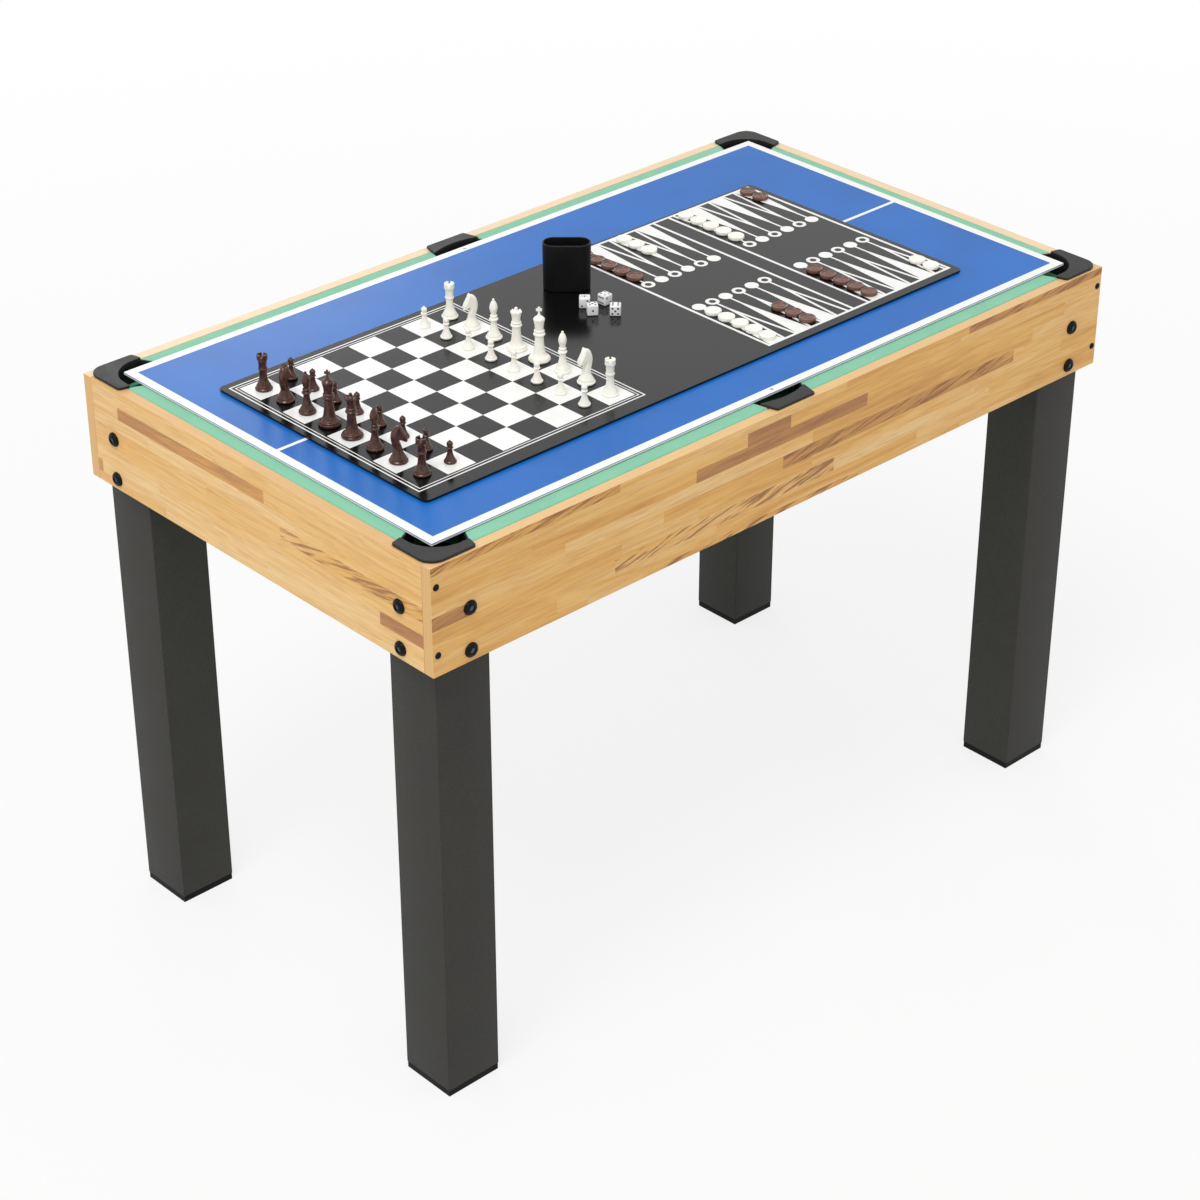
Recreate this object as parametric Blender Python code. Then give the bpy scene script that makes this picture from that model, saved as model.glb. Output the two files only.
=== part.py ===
"""Multi game table: a pool table frame with a lift-off table tennis top and a lift-off games board.

Units are metres and +Z is up. The floor is z = 0, the table's middle is x = y = 0 and X runs along
the table. Pieces that touch keep SEAT_GAP between their faces.
"""
import math
from collections import Counter

import bmesh
import bpy
from mathutils import Matrix, Vector

# Whole table
TABLE_LENGTH = 1.220
TABLE_WIDTH = 0.690
TABLE_HEIGHT = 0.800
SEAT_GAP = 0.0003
CUT_OVERRUN = 0.003
EDGE_BREAK = 0.0008
SHARP_ANGLE = math.radians(35)

# Apron boards
APRON_HEIGHT = 0.148
APRON_THICKNESS = 0.016

# Legs and feet
LEG_WIDTH = 0.085
LEG_WALL = 0.012
FOOT_HEIGHT = 0.010
FOOT_INSET = 0.001
FOOT_PLUG_HEIGHT = 0.014

# Bolts that hold the aprons to the legs
BOLT_DROPS = (0.074, 0.132)
BOLT_SIDES = 8
BOLT_RADIUS = 0.0040
BOLT_CLEARANCE = 0.0005
BOLT_HEAD_RADIUS = 0.0102
BOLT_HEAD_HEIGHT = 0.0050
BOLT_RIM_HEIGHT = 0.0016
BOLT_SOCKET_RADIUS = 0.0034
BOLT_SOCKET_DEPTH = 0.0022
BOLT_REACH = 0.0090

# Pool bed, its pocket holes and the battens that carry it
BED_DROP = 0.028
BED_THICKNESS = 0.009
CORNER_HOLE_RADIUS = 0.0325
SIDE_HOLE_RADIUS = 0.0265
HOLE_TAPER = 0.0025
BATTEN_SIZE = 0.018
BATTEN_CLEARANCE = 0.004
GLUE_DEPTH = 0.002

# Cushions
CUSHION_WIDTH = 0.046
CUSHION_TOP_WIDTH = 0.037
CUSHION_FOOT_WIDTH = 0.031
CUSHION_NOSE_RISE = 0.0215
CUSHION_NOSE_RADIUS = 0.003
CUSHION_NOSE_STEPS = 3
CUSHION_PROUD = 0.0015
CORNER_JAW_SLOPE = 0.48
SIDE_JAW_SLOPE = 0.27

# Moulded pockets: a plate on the aprons, a throat behind the mouth and a cup under the bed
PLATE_THICKNESS = 0.0036
PLATE_EDGE_ROUND = 0.0010
PLATE_INSET = 0.003
PLATE_CORNER_RADIUS = 0.022
CORNER_ARM_LENGTH = 0.0755
CORNER_ARM_SLANT = 0.0050
CORNER_MOUTH_CENTRE = 0.064
CORNER_MOUTH_RADIUS = 0.044
SIDE_PLATE_HALF_LENGTH = 0.034
SIDE_PLATE_WIDTH = 0.0255
SIDE_MOUTH_DEPTH = 0.0215
MOUTH_STEPS = 10
THROAT_WALL = 0.0026
THROAT_DROP = 0.0004
JAW_COVER_DEPTH = 0.050
LIP_RISE = 0.0020
LIP_HALF_ANGLE = math.radians(75)
LIP_STEPS = 8
CUP_DEPTH = 0.060
CUP_WALL = 0.0024
CUP_DRAFT = 0.0020
CUP_SIDES = 16
CUP_FIT = 0.0005

# Table tennis top: its edges keep these distances from the table's outer faces
TENNIS_END_MARGIN = 0.0365
TENNIS_SIDE_MARGIN = 0.0395
TENNIS_THICKNESS = 0.0035
TENNIS_OFFSET = (-0.003, -0.003)
NET_HOLE_RADIUS = 0.0025
NET_HOLE_EDGE = 0.0073
NET_HOLE_SIDES = 8

# Games board and the chess field printed on its left half
GAMES_LENGTH = 0.966
GAMES_WIDTH = 0.409
GAMES_THICKNESS = 0.003
GAMES_CORNER_RADIUS = 0.008
GAMES_CORNER_STEPS = 4
GAMES_OFFSET = (-0.036, -0.026)
PRINT_RISE = 0.006
CHESS_SQUARE = 0.0444
CHESS_COUNT = 8
CHESS_MARGIN = 0.019

# Chessmen: base radius and height of each kind
KING_RADIUS, KING_HEIGHT = 0.0145, 0.075
QUEEN_RADIUS, QUEEN_HEIGHT = 0.0140, 0.060
BISHOP_RADIUS, BISHOP_HEIGHT = 0.0112, 0.057
KNIGHT_RADIUS, KNIGHT_HEIGHT = 0.0120, 0.050
ROOK_RADIUS, ROOK_HEIGHT = 0.0113, 0.049
PAWN_RADIUS, PAWN_HEIGHT = 0.0080, 0.030
MAN_SIDES = 10
PAWN_SIDES = 8
QUEEN_SIDES = 16
KNIGHT_THICKNESS = 0.0105
DARK_KNIGHT_YAWS = (math.radians(12), math.radians(-38))
LIGHT_KNIGHT_YAWS = (math.radians(180), math.radians(206))
KING_YAW = math.radians(-43)
CROWN_SLOT_WIDTH = 0.0034
CROWN_SLOT_DEPTH = 0.0036
CROWN_BORE_RADIUS = 0.0044
MITRE_SLOT_WIDTH = 0.0012
MITRE_SLOT_TILT = math.radians(38)
MITRE_SLOT_SHARE = 0.80
CORONET_RISE = 0.0014
CROSS_WIDTH = 0.0076
CROSS_BAR = 0.0026

# Dice cup
DICE_CUP_LENGTH = 0.066
DICE_CUP_BREADTH = 0.032
DICE_CUP_HEIGHT = 0.068
DICE_CUP_WALL = 0.0022
DICE_CUP_FLOOR = 0.003
DICE_CUP_DRAFT = 0.0008
DICE_CUP_STEPS = 6
DICE_CUP_YAW = math.radians(-43)

# Heights and half sizes that follow from the sizes above
HALF_LENGTH = TABLE_LENGTH / 2
HALF_WIDTH = TABLE_WIDTH / 2
TENNIS_LENGTH = TABLE_LENGTH - 2 * TENNIS_END_MARGIN
TENNIS_WIDTH = TABLE_WIDTH - 2 * TENNIS_SIDE_MARGIN
BED_TOP = TABLE_HEIGHT - BED_DROP
BED_UNDER = BED_TOP - BED_THICKNESS
LEG_INSET = APRON_THICKNESS + LEG_WIDTH / 2
SIDE_HOLE_INSET = SIDE_MOUTH_DEPTH + SIDE_HOLE_RADIUS + CUP_FIT
CUSHION_TOP = TABLE_HEIGHT + CUSHION_PROUD
TENNIS_UNDER = CUSHION_TOP + SEAT_GAP
GAMES_UNDER = TENNIS_UNDER + TENNIS_THICKNESS + SEAT_GAP

# Turned outlines, as shares of the base radius and of the height, from the foot up
PAWN_SHARES = (
    (0.95, 0), (1, 0.06), (0.92, 0.15), (0.62, 0.31), (0.42, 0.47), (0.38, 0.62),
    (0.56, 0.70), (0.46, 0.75), (0.55, 0.84), (0.30, 0.94), (0.06, 1))
ROOK_SHARES = (
    (0.95, 0), (1, 0.05), (0.90, 0.11), (0.68, 0.19), (0.47, 0.28), (0.46, 0.46),
    (0.51, 0.57), (0.58, 0.64), (0.58, 0.84), (0.64, 0.88), (0.64, 1))
BISHOP_SHARES = (
    (0.95, 0), (1, 0.05), (0.88, 0.12), (0.58, 0.20), (0.40, 0.28), (0.36, 0.42), (0.54, 0.465),
    (0.40, 0.51), (0.38, 0.62), (0.52, 0.75), (0.50, 0.83), (0.22, 0.94), (0.06, 1))
KNIGHT_SHARES = ((0.95, 0), (1, 0.05), (0.93, 0.10), (0.72, 0.22), (0.60, 0.32), (0.50, 0.38))
CORONET_RIM_SHARE = (0.57, 0.90)
QUEEN_SHARES = (
    (0.95, 0), (1, 0.045), (0.97, 0.10), (0.80, 0.16), (0.62, 0.21), (0.46, 0.27), (0.40, 0.42),
    (0.42, 0.58), (0.55, 0.625), (0.42, 0.67), (0.44, 0.80), CORONET_RIM_SHARE, (0.36, 0.925),
    (0.14, 0.945), (0.16, 0.975), (0.05, 1))
KING_SHARES = (
    (0.95, 0), (1, 0.04), (0.97, 0.09), (0.84, 0.12), (0.82, 0.15), (0.62, 0.20), (0.45, 0.25),
    (0.40, 0.40), (0.42, 0.52), (0.54, 0.56), (0.43, 0.60), (0.45, 0.70), (0.56, 0.79), (0.36, 0.835),
    (0.14, 0.85), (0.14, 0.865))

# Knight's head seen from its side: shares of the base radius forwards and of the height up
KNIGHT_HEAD_SHARES = (
    (-0.60, 0.30), (0.54, 0.30), (0.36, 0.42), (0.22, 0.54), (0.24, 0.635), (0.58, 0.62),
    (0.92, 0.635), (1.02, 0.70), (0.74, 0.81), (0.44, 0.90), (0.12, 1), (-0.14, 0.95),
    (-0.50, 0.87), (-0.72, 0.70), (-0.72, 0.49))
KNIGHT_FLANK_SHARE = 0.84

# Order of the back rank from the far side of the board, and each man's place in it
DARK_RANK = ("rook", "knight", "bishop", "king", "queen", "bishop", "knight", "rook")
LIGHT_RANK = ("rook", "knight", "bishop", "queen", "king", "bishop", "knight", "rook")

# Place of the dice cup, as shares of the games board's length and width from its middle
DICE_CUP_PLACE_SHARES = (0.0466, 0.301)

# Which way each corner, side and end lies from the middle
CORNERS = {"front_left": (-1, -1), "front_right": (1, -1), "back_left": (-1, 1), "back_right": (1, 1)}
SIDES = {"front": -1, "back": 1}
ENDS = {"left": -1, "right": 1}

# Colour, roughness and metallic value of each finish
FINISHES = {
    "butcher_block": ((0.66, 0.42, 0.18), 0.45, 0.0),
    "green_cloth": ((0.20, 0.62, 0.40), 0.85, 0.0),
    "pocket_black": ((0.045, 0.045, 0.045), 0.42, 0.0),
    "leg_charcoal": ((0.045, 0.043, 0.040), 0.55, 0.0),
    "foot_black": ((0.012, 0.012, 0.012), 0.40, 0.0),
    "tennis_blue": ((0.06, 0.19, 0.62), 0.50, 0.0),
    "board_black": ((0.012, 0.012, 0.012), 0.12, 0.0),
    "man_ivory": ((0.90, 0.87, 0.74), 0.35, 0.0),
    "man_brown": ((0.065, 0.025, 0.016), 0.35, 0.0),
    "cup_black": ((0.008, 0.008, 0.008), 0.45, 0.0),
}


def clear_scene():
    for old in list(bpy.data.objects):
        bpy.data.objects.remove(old, do_unlink=True)


def finish_material(name):
    """The named finish as a Principled material, made once."""
    found = bpy.data.materials.get(name)
    if found:
        return found
    colour, roughness, metallic = FINISHES[name]
    material = bpy.data.materials.new(name)
    material.use_nodes = True
    shader = material.node_tree.nodes["Principled BSDF"]
    shader.inputs["Base Color"].default_value = (*colour, 1)
    shader.inputs["Roughness"].default_value = roughness
    shader.inputs["Metallic"].default_value = metallic
    return material


def add_empty(name, place, parent=None):
    empty = bpy.data.objects.new(name, None)
    empty.empty_display_size = LEG_WIDTH
    empty.location = place
    empty.parent = parent
    bpy.context.scene.collection.objects.link(empty)
    return empty


def add_piece(name, shape, finish, place=(0, 0, 0), turn=0, parent=None, smooth=False):
    """Link one solid, made from a bmesh, at its place. Round pieces are shaded smooth."""
    bmesh.ops.recalc_face_normals(shape, faces=shape.faces)
    mesh = bpy.data.meshes.new(name)
    shape.to_mesh(mesh)
    shape.free()
    mesh.materials.append(finish_material(finish))
    if smooth:
        mesh.shade_smooth()
        mesh.set_sharp_from_angle(angle=SHARP_ANGLE)
    piece = bpy.data.objects.new(name, mesh)
    piece.location = place
    piece.rotation_euler = (0, 0, turn)
    piece.parent = parent
    bpy.context.scene.collection.objects.link(piece)
    return piece


def add_guide(piece, name, shape, operation, place=(0, 0, 0), parent=None):
    """Cut a helper solid out of a piece, or join it on, with a Boolean."""
    guide = add_piece(name, shape, "pocket_black", place, parent=parent)
    guide.hide_render = True
    guide.display_type = "WIRE"
    modifier = piece.modifiers.new(name, "BOOLEAN")
    modifier.solver = "EXACT"
    modifier.operation = operation
    modifier.object = guide


def break_edges(piece, width=EDGE_BREAK):
    bevel = piece.modifiers.new("edge_break", "BEVEL")
    bevel.width = width
    bevel.segments = 1
    bevel.limit_method = "ANGLE"
    bevel.angle_limit = math.radians(60)


def arc(centre, radius, start, end, steps):
    """Points of an arc, both ends included."""
    points = []
    for step in range(steps + 1):
        angle = start + (end - start) * step / steps
        points.append((centre[0] + radius * math.cos(angle), centre[1] + radius * math.sin(angle)))
    return points


def ring(radius, height, sides):
    """A level circle of points, turned so that flats face along X and Y."""
    start = math.pi / sides
    spokes = [start + math.tau * side / sides for side in range(sides)]
    return [Vector((radius * math.cos(a), radius * math.sin(a), height)) for a in spokes]


def level(outline, height):
    return [Vector((x, y, height)) for x, y in outline]


def skin(shape, rings, closed=False):
    """Join rings of equal count by faces. The ends are capped, or joined if the skin is closed."""
    rows = [[shape.verts.new(point) for point in points] for points in rings]
    followers = rows[1:] + rows[:1] if closed else rows[1:]
    for lower, upper in zip(rows, followers):
        for here in range(len(lower)):
            after = (here + 1) % len(lower)
            shape.faces.new((lower[here], lower[after], upper[after], upper[here]))
    if not closed:
        shape.faces.new(reversed(rows[0]))
        shape.faces.new(rows[-1])
    return shape


def prism(outline, low, high, shape=None):
    return skin(shape or bmesh.new(), [level(outline, low), level(outline, high)])


def turned(profile, sides):
    """A solid of revolution from (radius, height) pairs, foot first."""
    return skin(bmesh.new(), [ring(radius, height, sides) for radius, height in profile])


def rectangle(span_x, span_y):
    low_x, high_x = sorted(span_x)
    low_y, high_y = sorted(span_y)
    return [(low_x, low_y), (high_x, low_y), (high_x, high_y), (low_x, high_y)]


def block(span_x, span_y, span_z, shape=None):
    """Box between two limits along each axis."""
    return prism(rectangle(span_x, span_y), *span_z, shape)


def square(half, height):
    return level(rectangle((-half, half), (-half, half)), height)


def rounded_rectangle(half_length, half_width, radius, steps):
    """Outline of a rectangle with round corners, anticlockwise."""
    outline = []
    for quarter, (side_x, side_y) in enumerate(((1, 1), (-1, 1), (-1, -1), (1, -1))):
        centre = (side_x * (half_length - radius), side_y * (half_width - radius))
        start = quarter * math.pi / 2
        outline += arc(centre, radius, start, start + math.pi / 2, steps)
    return outline


def transformed(shape, matrix):
    bmesh.ops.transform(shape, matrix=matrix, verts=shape.verts)
    return shape


def copies(shape, spots):
    """One shape that holds a copy of the given one at each spot, a matrix."""
    pattern = bpy.data.meshes.new("pattern")
    shape.to_mesh(pattern)
    shape.free()
    group = bmesh.new()
    for spot in spots:
        known = len(group.verts)
        group.from_mesh(pattern)
        group.verts.ensure_lookup_table()
        bmesh.ops.transform(group, matrix=spot, verts=group.verts[known:])
    bpy.data.meshes.remove(pattern)
    return group


def along_x(sign):
    """Turn a shape that points up so that it points along +X or -X."""
    return Matrix.Rotation(sign * math.pi / 2, 4, "Y")


def along_y(sign):
    return Matrix.Rotation(-sign * math.pi / 2, 4, "X")


def bolt_spots(side_x, side_y):
    """Matrices on the aprons' outer faces at one corner, pointing outwards: two bolts in each face."""
    spots = []
    for drop in BOLT_DROPS:
        height = TABLE_HEIGHT - drop
        on_side = (side_x * (HALF_LENGTH - LEG_INSET), side_y * HALF_WIDTH, height)
        on_end = (side_x * HALF_LENGTH, side_y * (HALF_WIDTH - LEG_INSET), height)
        spots.append(Matrix.Translation(on_side) @ along_y(side_y))
        spots.append(Matrix.Translation(on_end) @ along_x(side_x))
    return spots


def bolt_hole(spots):
    radius = BOLT_RADIUS + BOLT_CLEARANCE
    wall = [(radius, -APRON_THICKNESS - CUT_OVERRUN), (radius, CUT_OVERRUN)]
    return copies(turned(wall, BOLT_SIDES), spots)


def bolt(spots):
    """Button-head bolts with a socket, their shanks ending in the leg's wall."""
    rim = SEAT_GAP + BOLT_RIM_HEIGHT
    crown = SEAT_GAP + BOLT_HEAD_HEIGHT
    outline = [(BOLT_RADIUS, -APRON_THICKNESS - BOLT_REACH), (BOLT_RADIUS, SEAT_GAP),
               (BOLT_HEAD_RADIUS, SEAT_GAP), (BOLT_HEAD_RADIUS, rim),
               (BOLT_SOCKET_RADIUS + BOLT_RIM_HEIGHT, crown), (BOLT_SOCKET_RADIUS, crown),
               (BOLT_SOCKET_RADIUS, crown - BOLT_SOCKET_DEPTH)]
    return copies(turned(outline, BOLT_SIDES), spots)


def make_aprons():
    """Boards of the frame, each with the battens that are glued to it under the bed."""
    low = TABLE_HEIGHT - APRON_HEIGHT
    high_batten = BED_UNDER - SEAT_GAP
    low_batten = high_batten - BATTEN_SIZE
    leg_clear = APRON_THICKNESS + LEG_WIDTH + BATTEN_CLEARANCE
    cup_clear = SIDE_HOLE_RADIUS + BATTEN_CLEARANCE
    for name, side in SIDES.items():
        face = side * HALF_WIDTH
        inner = face - side * APRON_THICKNESS
        whole = block((-HALF_LENGTH, HALF_LENGTH), (inner, face), (low, TABLE_HEIGHT))
        board = add_piece(name + "_apron", whole, "butcher_block")
        break_edges(board)
        reach = (inner + side * GLUE_DEPTH, inner - side * BATTEN_SIZE)
        battens = block((cup_clear, HALF_LENGTH - leg_clear), reach, (low_batten, high_batten))
        block((leg_clear - HALF_LENGTH, -cup_clear), reach, (low_batten, high_batten), battens)
        add_guide(board, name + "_battens", battens, "UNION")
        spots = bolt_spots(-1, side) + bolt_spots(1, side)
        add_guide(board, name + "_bolt_holes", bolt_hole(spots), "DIFFERENCE")
    span = HALF_WIDTH - APRON_THICKNESS - SEAT_GAP
    batten_span = HALF_WIDTH - leg_clear
    for name, side in ENDS.items():
        face = side * HALF_LENGTH
        inner = face - side * APRON_THICKNESS
        whole = block((inner, face), (-span, span), (low, TABLE_HEIGHT))
        board = add_piece(name + "_apron", whole, "butcher_block")
        break_edges(board)
        reach = (inner + side * GLUE_DEPTH, inner - side * BATTEN_SIZE)
        batten = block(reach, (-batten_span, batten_span), (low_batten, high_batten))
        add_guide(board, name + "_batten", batten, "UNION")
        spots = bolt_spots(side, -1) + bolt_spots(side, 1)
        add_guide(board, name + "_bolt_holes", bolt_hole(spots), "DIFFERENCE")


def make_legs():
    """Square tubes with their bolts, and a plugged cap under each."""
    low = FOOT_HEIGHT + SEAT_GAP
    high = BED_UNDER - SEAT_GAP
    half = LEG_WIDTH / 2
    hollow = half - LEG_WALL
    plug = hollow - SEAT_GAP
    plate = half - FOOT_INSET
    from_end = LEG_INSET + SEAT_GAP
    for name, (side_x, side_y) in CORNERS.items():
        place = (side_x * (HALF_LENGTH - from_end), side_y * (HALF_WIDTH - from_end), 0)
        tube = block((-half, half), (-half, half), (low, high))
        leg = add_piece(name + "_leg", tube, "leg_charcoal", place)
        break_edges(leg)
        core = block((-hollow, hollow), (-hollow, hollow), (low - CUT_OVERRUN, high + CUT_OVERRUN))
        add_guide(leg, name + "_leg_core", core, "DIFFERENCE", place)
        add_guide(leg, name + "_leg_bolts", bolt(bolt_spots(side_x, side_y)), "UNION")
        foot = skin(bmesh.new(), [square(plate, 0), square(plate, FOOT_HEIGHT), square(plug, FOOT_HEIGHT),
                                  square(plug, FOOT_HEIGHT + FOOT_PLUG_HEIGHT)])
        add_piece(name + "_foot", foot, "foot_black", place)


def hole_places():
    """Middle of each pocket hole on the bed's top, and its radius there."""
    places = {}
    for name, (side_x, side_y) in CORNERS.items():
        spot = (side_x * (HALF_LENGTH - LEG_INSET), side_y * (HALF_WIDTH - LEG_INSET), BED_TOP)
        places[name] = (spot, CORNER_HOLE_RADIUS)
    for name, side in SIDES.items():
        places[name + "_side"] = ((0, side * (HALF_WIDTH - SIDE_HOLE_INSET), BED_TOP), SIDE_HOLE_RADIUS)
    return places


def make_bed():
    half_x = HALF_LENGTH - APRON_THICKNESS - SEAT_GAP
    half_y = HALF_WIDTH - APRON_THICKNESS - SEAT_GAP
    whole = block((-half_x, half_x), (-half_y, half_y), (BED_UNDER, BED_TOP))
    bed = add_piece("pool_bed", whole, "green_cloth")
    overrun = CUT_OVERRUN * HOLE_TAPER / BED_THICKNESS
    for name, (spot, radius) in hole_places().items():
        outline = [(radius - HOLE_TAPER - overrun, -BED_THICKNESS - CUT_OVERRUN),
                   (radius + overrun, CUT_OVERRUN)]
        add_guide(bed, name + "_hole", turned(outline, CUP_SIDES), "DIFFERENCE", spot)


def corner_jaw(depth):
    """Distance from the end face at which a cushion starts, at a depth from the side face."""
    return CORNER_ARM_LENGTH + SEAT_GAP + CORNER_JAW_SLOPE * (depth - APRON_THICKNESS)


def side_jaw(depth):
    """Distance from the table's middle at which a cushion ends beside a side pocket."""
    return SIDE_PLATE_HALF_LENGTH + SEAT_GAP + SIDE_JAW_SLOPE * (depth - PLATE_INSET)


def cushion_section():
    """Section of a cushion: depth from the apron's outer face, and height."""
    back = APRON_THICKNESS + SEAT_GAP
    foot = BED_TOP + SEAT_GAP
    nose = (APRON_THICKNESS + CUSHION_WIDTH - CUSHION_NOSE_RADIUS, BED_TOP + CUSHION_NOSE_RISE)
    front = arc(nose, CUSHION_NOSE_RADIUS, -math.pi / 4, math.pi / 3, CUSHION_NOSE_STEPS)
    return [(back, foot), (APRON_THICKNESS + CUSHION_FOOT_WIDTH, foot), *front,
            (APRON_THICKNESS + CUSHION_TOP_WIDTH, CUSHION_TOP), (back, CUSHION_TOP)]


def cushion(start, end, outer_face, along_side):
    """A cushion whose ends follow its pockets' jaws; start and end give them for a depth."""
    sign = math.copysign(1, outer_face)
    rings = []
    for jaw in (start, end):
        points = []
        for depth, height in cushion_section():
            across = outer_face - sign * depth
            along = jaw(depth)
            points.append(Vector((along, across, height) if along_side else (across, along, height)))
        rings.append(points)
    return skin(bmesh.new(), rings)


def make_cushions():
    for name, side in SIDES.items():
        face = side * HALF_WIDTH
        left = cushion(lambda deep: corner_jaw(deep) - HALF_LENGTH,
                       lambda deep: -side_jaw(deep), face, True)
        right = cushion(side_jaw, lambda deep: HALF_LENGTH - corner_jaw(deep), face, True)
        add_piece(name + "_left_cushion", left, "green_cloth", smooth=True)
        add_piece(name + "_right_cushion", right, "green_cloth", smooth=True)
    for name, side in ENDS.items():
        whole = cushion(lambda deep: corner_jaw(deep) - HALF_WIDTH,
                        lambda deep: HALF_WIDTH - corner_jaw(deep), side * HALF_LENGTH, False)
        add_piece(name + "_cushion", whole, "green_cloth", smooth=True)


def swapped(points):
    return [(second, first) for first, second in reversed(points)]


def corner_plate_outline():
    """Points are distances from the table's end face and from its side face."""
    tip = CORNER_ARM_LENGTH - CORNER_ARM_SLANT
    inner = CORNER_MOUTH_CENTRE - CORNER_MOUTH_RADIUS
    round_centre = PLATE_INSET + PLATE_CORNER_RADIUS
    outer = arc((round_centre, round_centre), PLATE_CORNER_RADIUS, math.pi, 1.5 * math.pi, MOUTH_STEPS // 2)
    mouth = arc((CORNER_MOUTH_CENTRE, CORNER_MOUTH_CENTRE), CORNER_MOUTH_RADIUS, 1.5 * math.pi, math.pi,
                MOUTH_STEPS)
    return ([(PLATE_INSET, tip)] + outer + [(tip, PLATE_INSET), (CORNER_ARM_LENGTH, inner)]
            + mouth + [(inner, CORNER_ARM_LENGTH)])


def corner_throat_path(out):
    """Face of the wall that lines the mouth and covers the jaws, at a distance out from its inner one."""
    centre = (CORNER_MOUTH_CENTRE, CORNER_MOUTH_CENTRE)
    start = CORNER_MOUTH_CENTRE - CORNER_MOUTH_RADIUS - out
    inset = SEAT_GAP + THROAT_WALL - out
    cheek = [(JAW_COVER_DEPTH, corner_jaw(JAW_COVER_DEPTH) - inset), (start, corner_jaw(start) - inset)]
    back = arc(centre, CORNER_MOUTH_RADIUS + out, math.pi, 1.5 * math.pi, MOUTH_STEPS)
    return cheek + back + swapped(cheek)


def side_mouth(out):
    """Arc behind a side pocket's mouth: distances along the side and in from its face."""
    inner = PLATE_INSET + SIDE_PLATE_WIDTH
    half = side_jaw(inner) - SEAT_GAP - THROAT_WALL
    rise = inner - SIDE_MOUTH_DEPTH
    radius = (half * half + rise * rise) / (2 * rise)
    spread = math.asin(half / radius)
    centre = (0, SIDE_MOUTH_DEPTH + radius)
    return arc(centre, radius + out, -math.pi / 2 - spread, -math.pi / 2 + spread, MOUTH_STEPS)


def side_plate_outline():
    inner = PLATE_INSET + SIDE_PLATE_WIDTH
    flank = side_jaw(inner) - SEAT_GAP
    return [(-SIDE_PLATE_HALF_LENGTH, PLATE_INSET), (SIDE_PLATE_HALF_LENGTH, PLATE_INSET),
            (flank, inner), *reversed(side_mouth(0)), (-flank, inner)]


def side_throat_path(out):
    inset = SEAT_GAP + THROAT_WALL - out
    end = side_jaw(JAW_COVER_DEPTH) - inset
    return [(-end, JAW_COVER_DEPTH), *side_mouth(out), (end, JAW_COVER_DEPTH)]


def back_segment(centre, radius, back, low, high):
    """Part of a disc behind a pocket's hole, closed by a chord."""
    return prism(arc(centre, radius, back - LIP_HALF_ANGLE, back + LIP_HALF_ANGLE, LIP_STEPS), low, high)


def make_pocket(name, place, inwards, plate_outline, throat_path, centre, radius, lip_radius, back):
    """One moulding, in distances from the outer faces and heights from the aprons' top."""
    bed = -BED_DROP
    neck = radius - CUP_FIT - HOLE_TAPER
    rim = radius - CUP_FIT
    foot = neck - CUP_DRAFT
    plate = prism(plate_outline, SEAT_GAP, SEAT_GAP + PLATE_THICKNESS)
    top = [edge for edge in plate.edges if all(vert.co.z > PLATE_THICKNESS for vert in edge.verts)]
    bmesh.ops.bevel(plate, geom=top, offset=PLATE_EDGE_ROUND, segments=1, profile=0.5, affect="EDGES")
    throat = prism(throat_path(THROAT_WALL) + throat_path(0)[::-1], bed + SEAT_GAP,
                   CUSHION_PROUD - THROAT_DROP)
    lip = back_segment(centre, lip_radius, back, bed + SEAT_GAP, bed + LIP_RISE)
    collar_radius = rim * math.cos(math.pi / CUP_SIDES) - CUP_FIT
    collar = back_segment(centre, collar_radius, back, bed - CUP_WALL, bed + LIP_RISE / 2)
    middle = Matrix.Translation((*centre, bed))
    pail = turned([(foot, -CUP_DEPTH), (neck, -BED_THICKNESS), (rim, 0)], CUP_SIDES)
    hollow = turned([(foot - CUP_WALL, CUP_WALL - CUP_DEPTH), (neck - CUP_WALL, -BED_THICKNESS),
                     (rim - CUP_WALL, 0), (rim - CUP_WALL, LIP_RISE + CUT_OVERRUN)], CUP_SIDES)
    pocket = add_piece(name, transformed(plate, inwards), "pocket_black", place, smooth=True)
    steps = (("throat", throat, "UNION"), ("lip", lip, "UNION"), ("collar", collar, "UNION"),
             ("pail", transformed(pail, middle), "UNION"),
             ("hollow", transformed(hollow, middle), "DIFFERENCE"))
    for part, shape, operation in steps:
        add_guide(pocket, name + "_" + part, transformed(shape, inwards), operation, place)


def make_pockets():
    to_wall = CORNER_MOUTH_RADIUS - math.hypot(1, 1) * (CORNER_MOUTH_CENTRE - LEG_INSET)
    for name, (side_x, side_y) in CORNERS.items():
        make_pocket(name + "_pocket", (side_x * HALF_LENGTH, side_y * HALF_WIDTH, TABLE_HEIGHT),
                    Matrix.Diagonal((-side_x, -side_y, 1, 1)), corner_plate_outline(), corner_throat_path,
                    (LEG_INSET, LEG_INSET), CORNER_HOLE_RADIUS, to_wall + THROAT_WALL / 2, 1.25 * math.pi)
    for name, side in SIDES.items():
        make_pocket(name + "_side_pocket", (0, side * HALF_WIDTH, TABLE_HEIGHT),
                    Matrix.Diagonal((1, -side, 1, 1)), side_plate_outline(), side_throat_path,
                    (0, SIDE_HOLE_INSET), SIDE_HOLE_RADIUS,
                    SIDE_HOLE_INSET - SIDE_MOUTH_DEPTH + THROAT_WALL / 2, 1.5 * math.pi)


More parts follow.
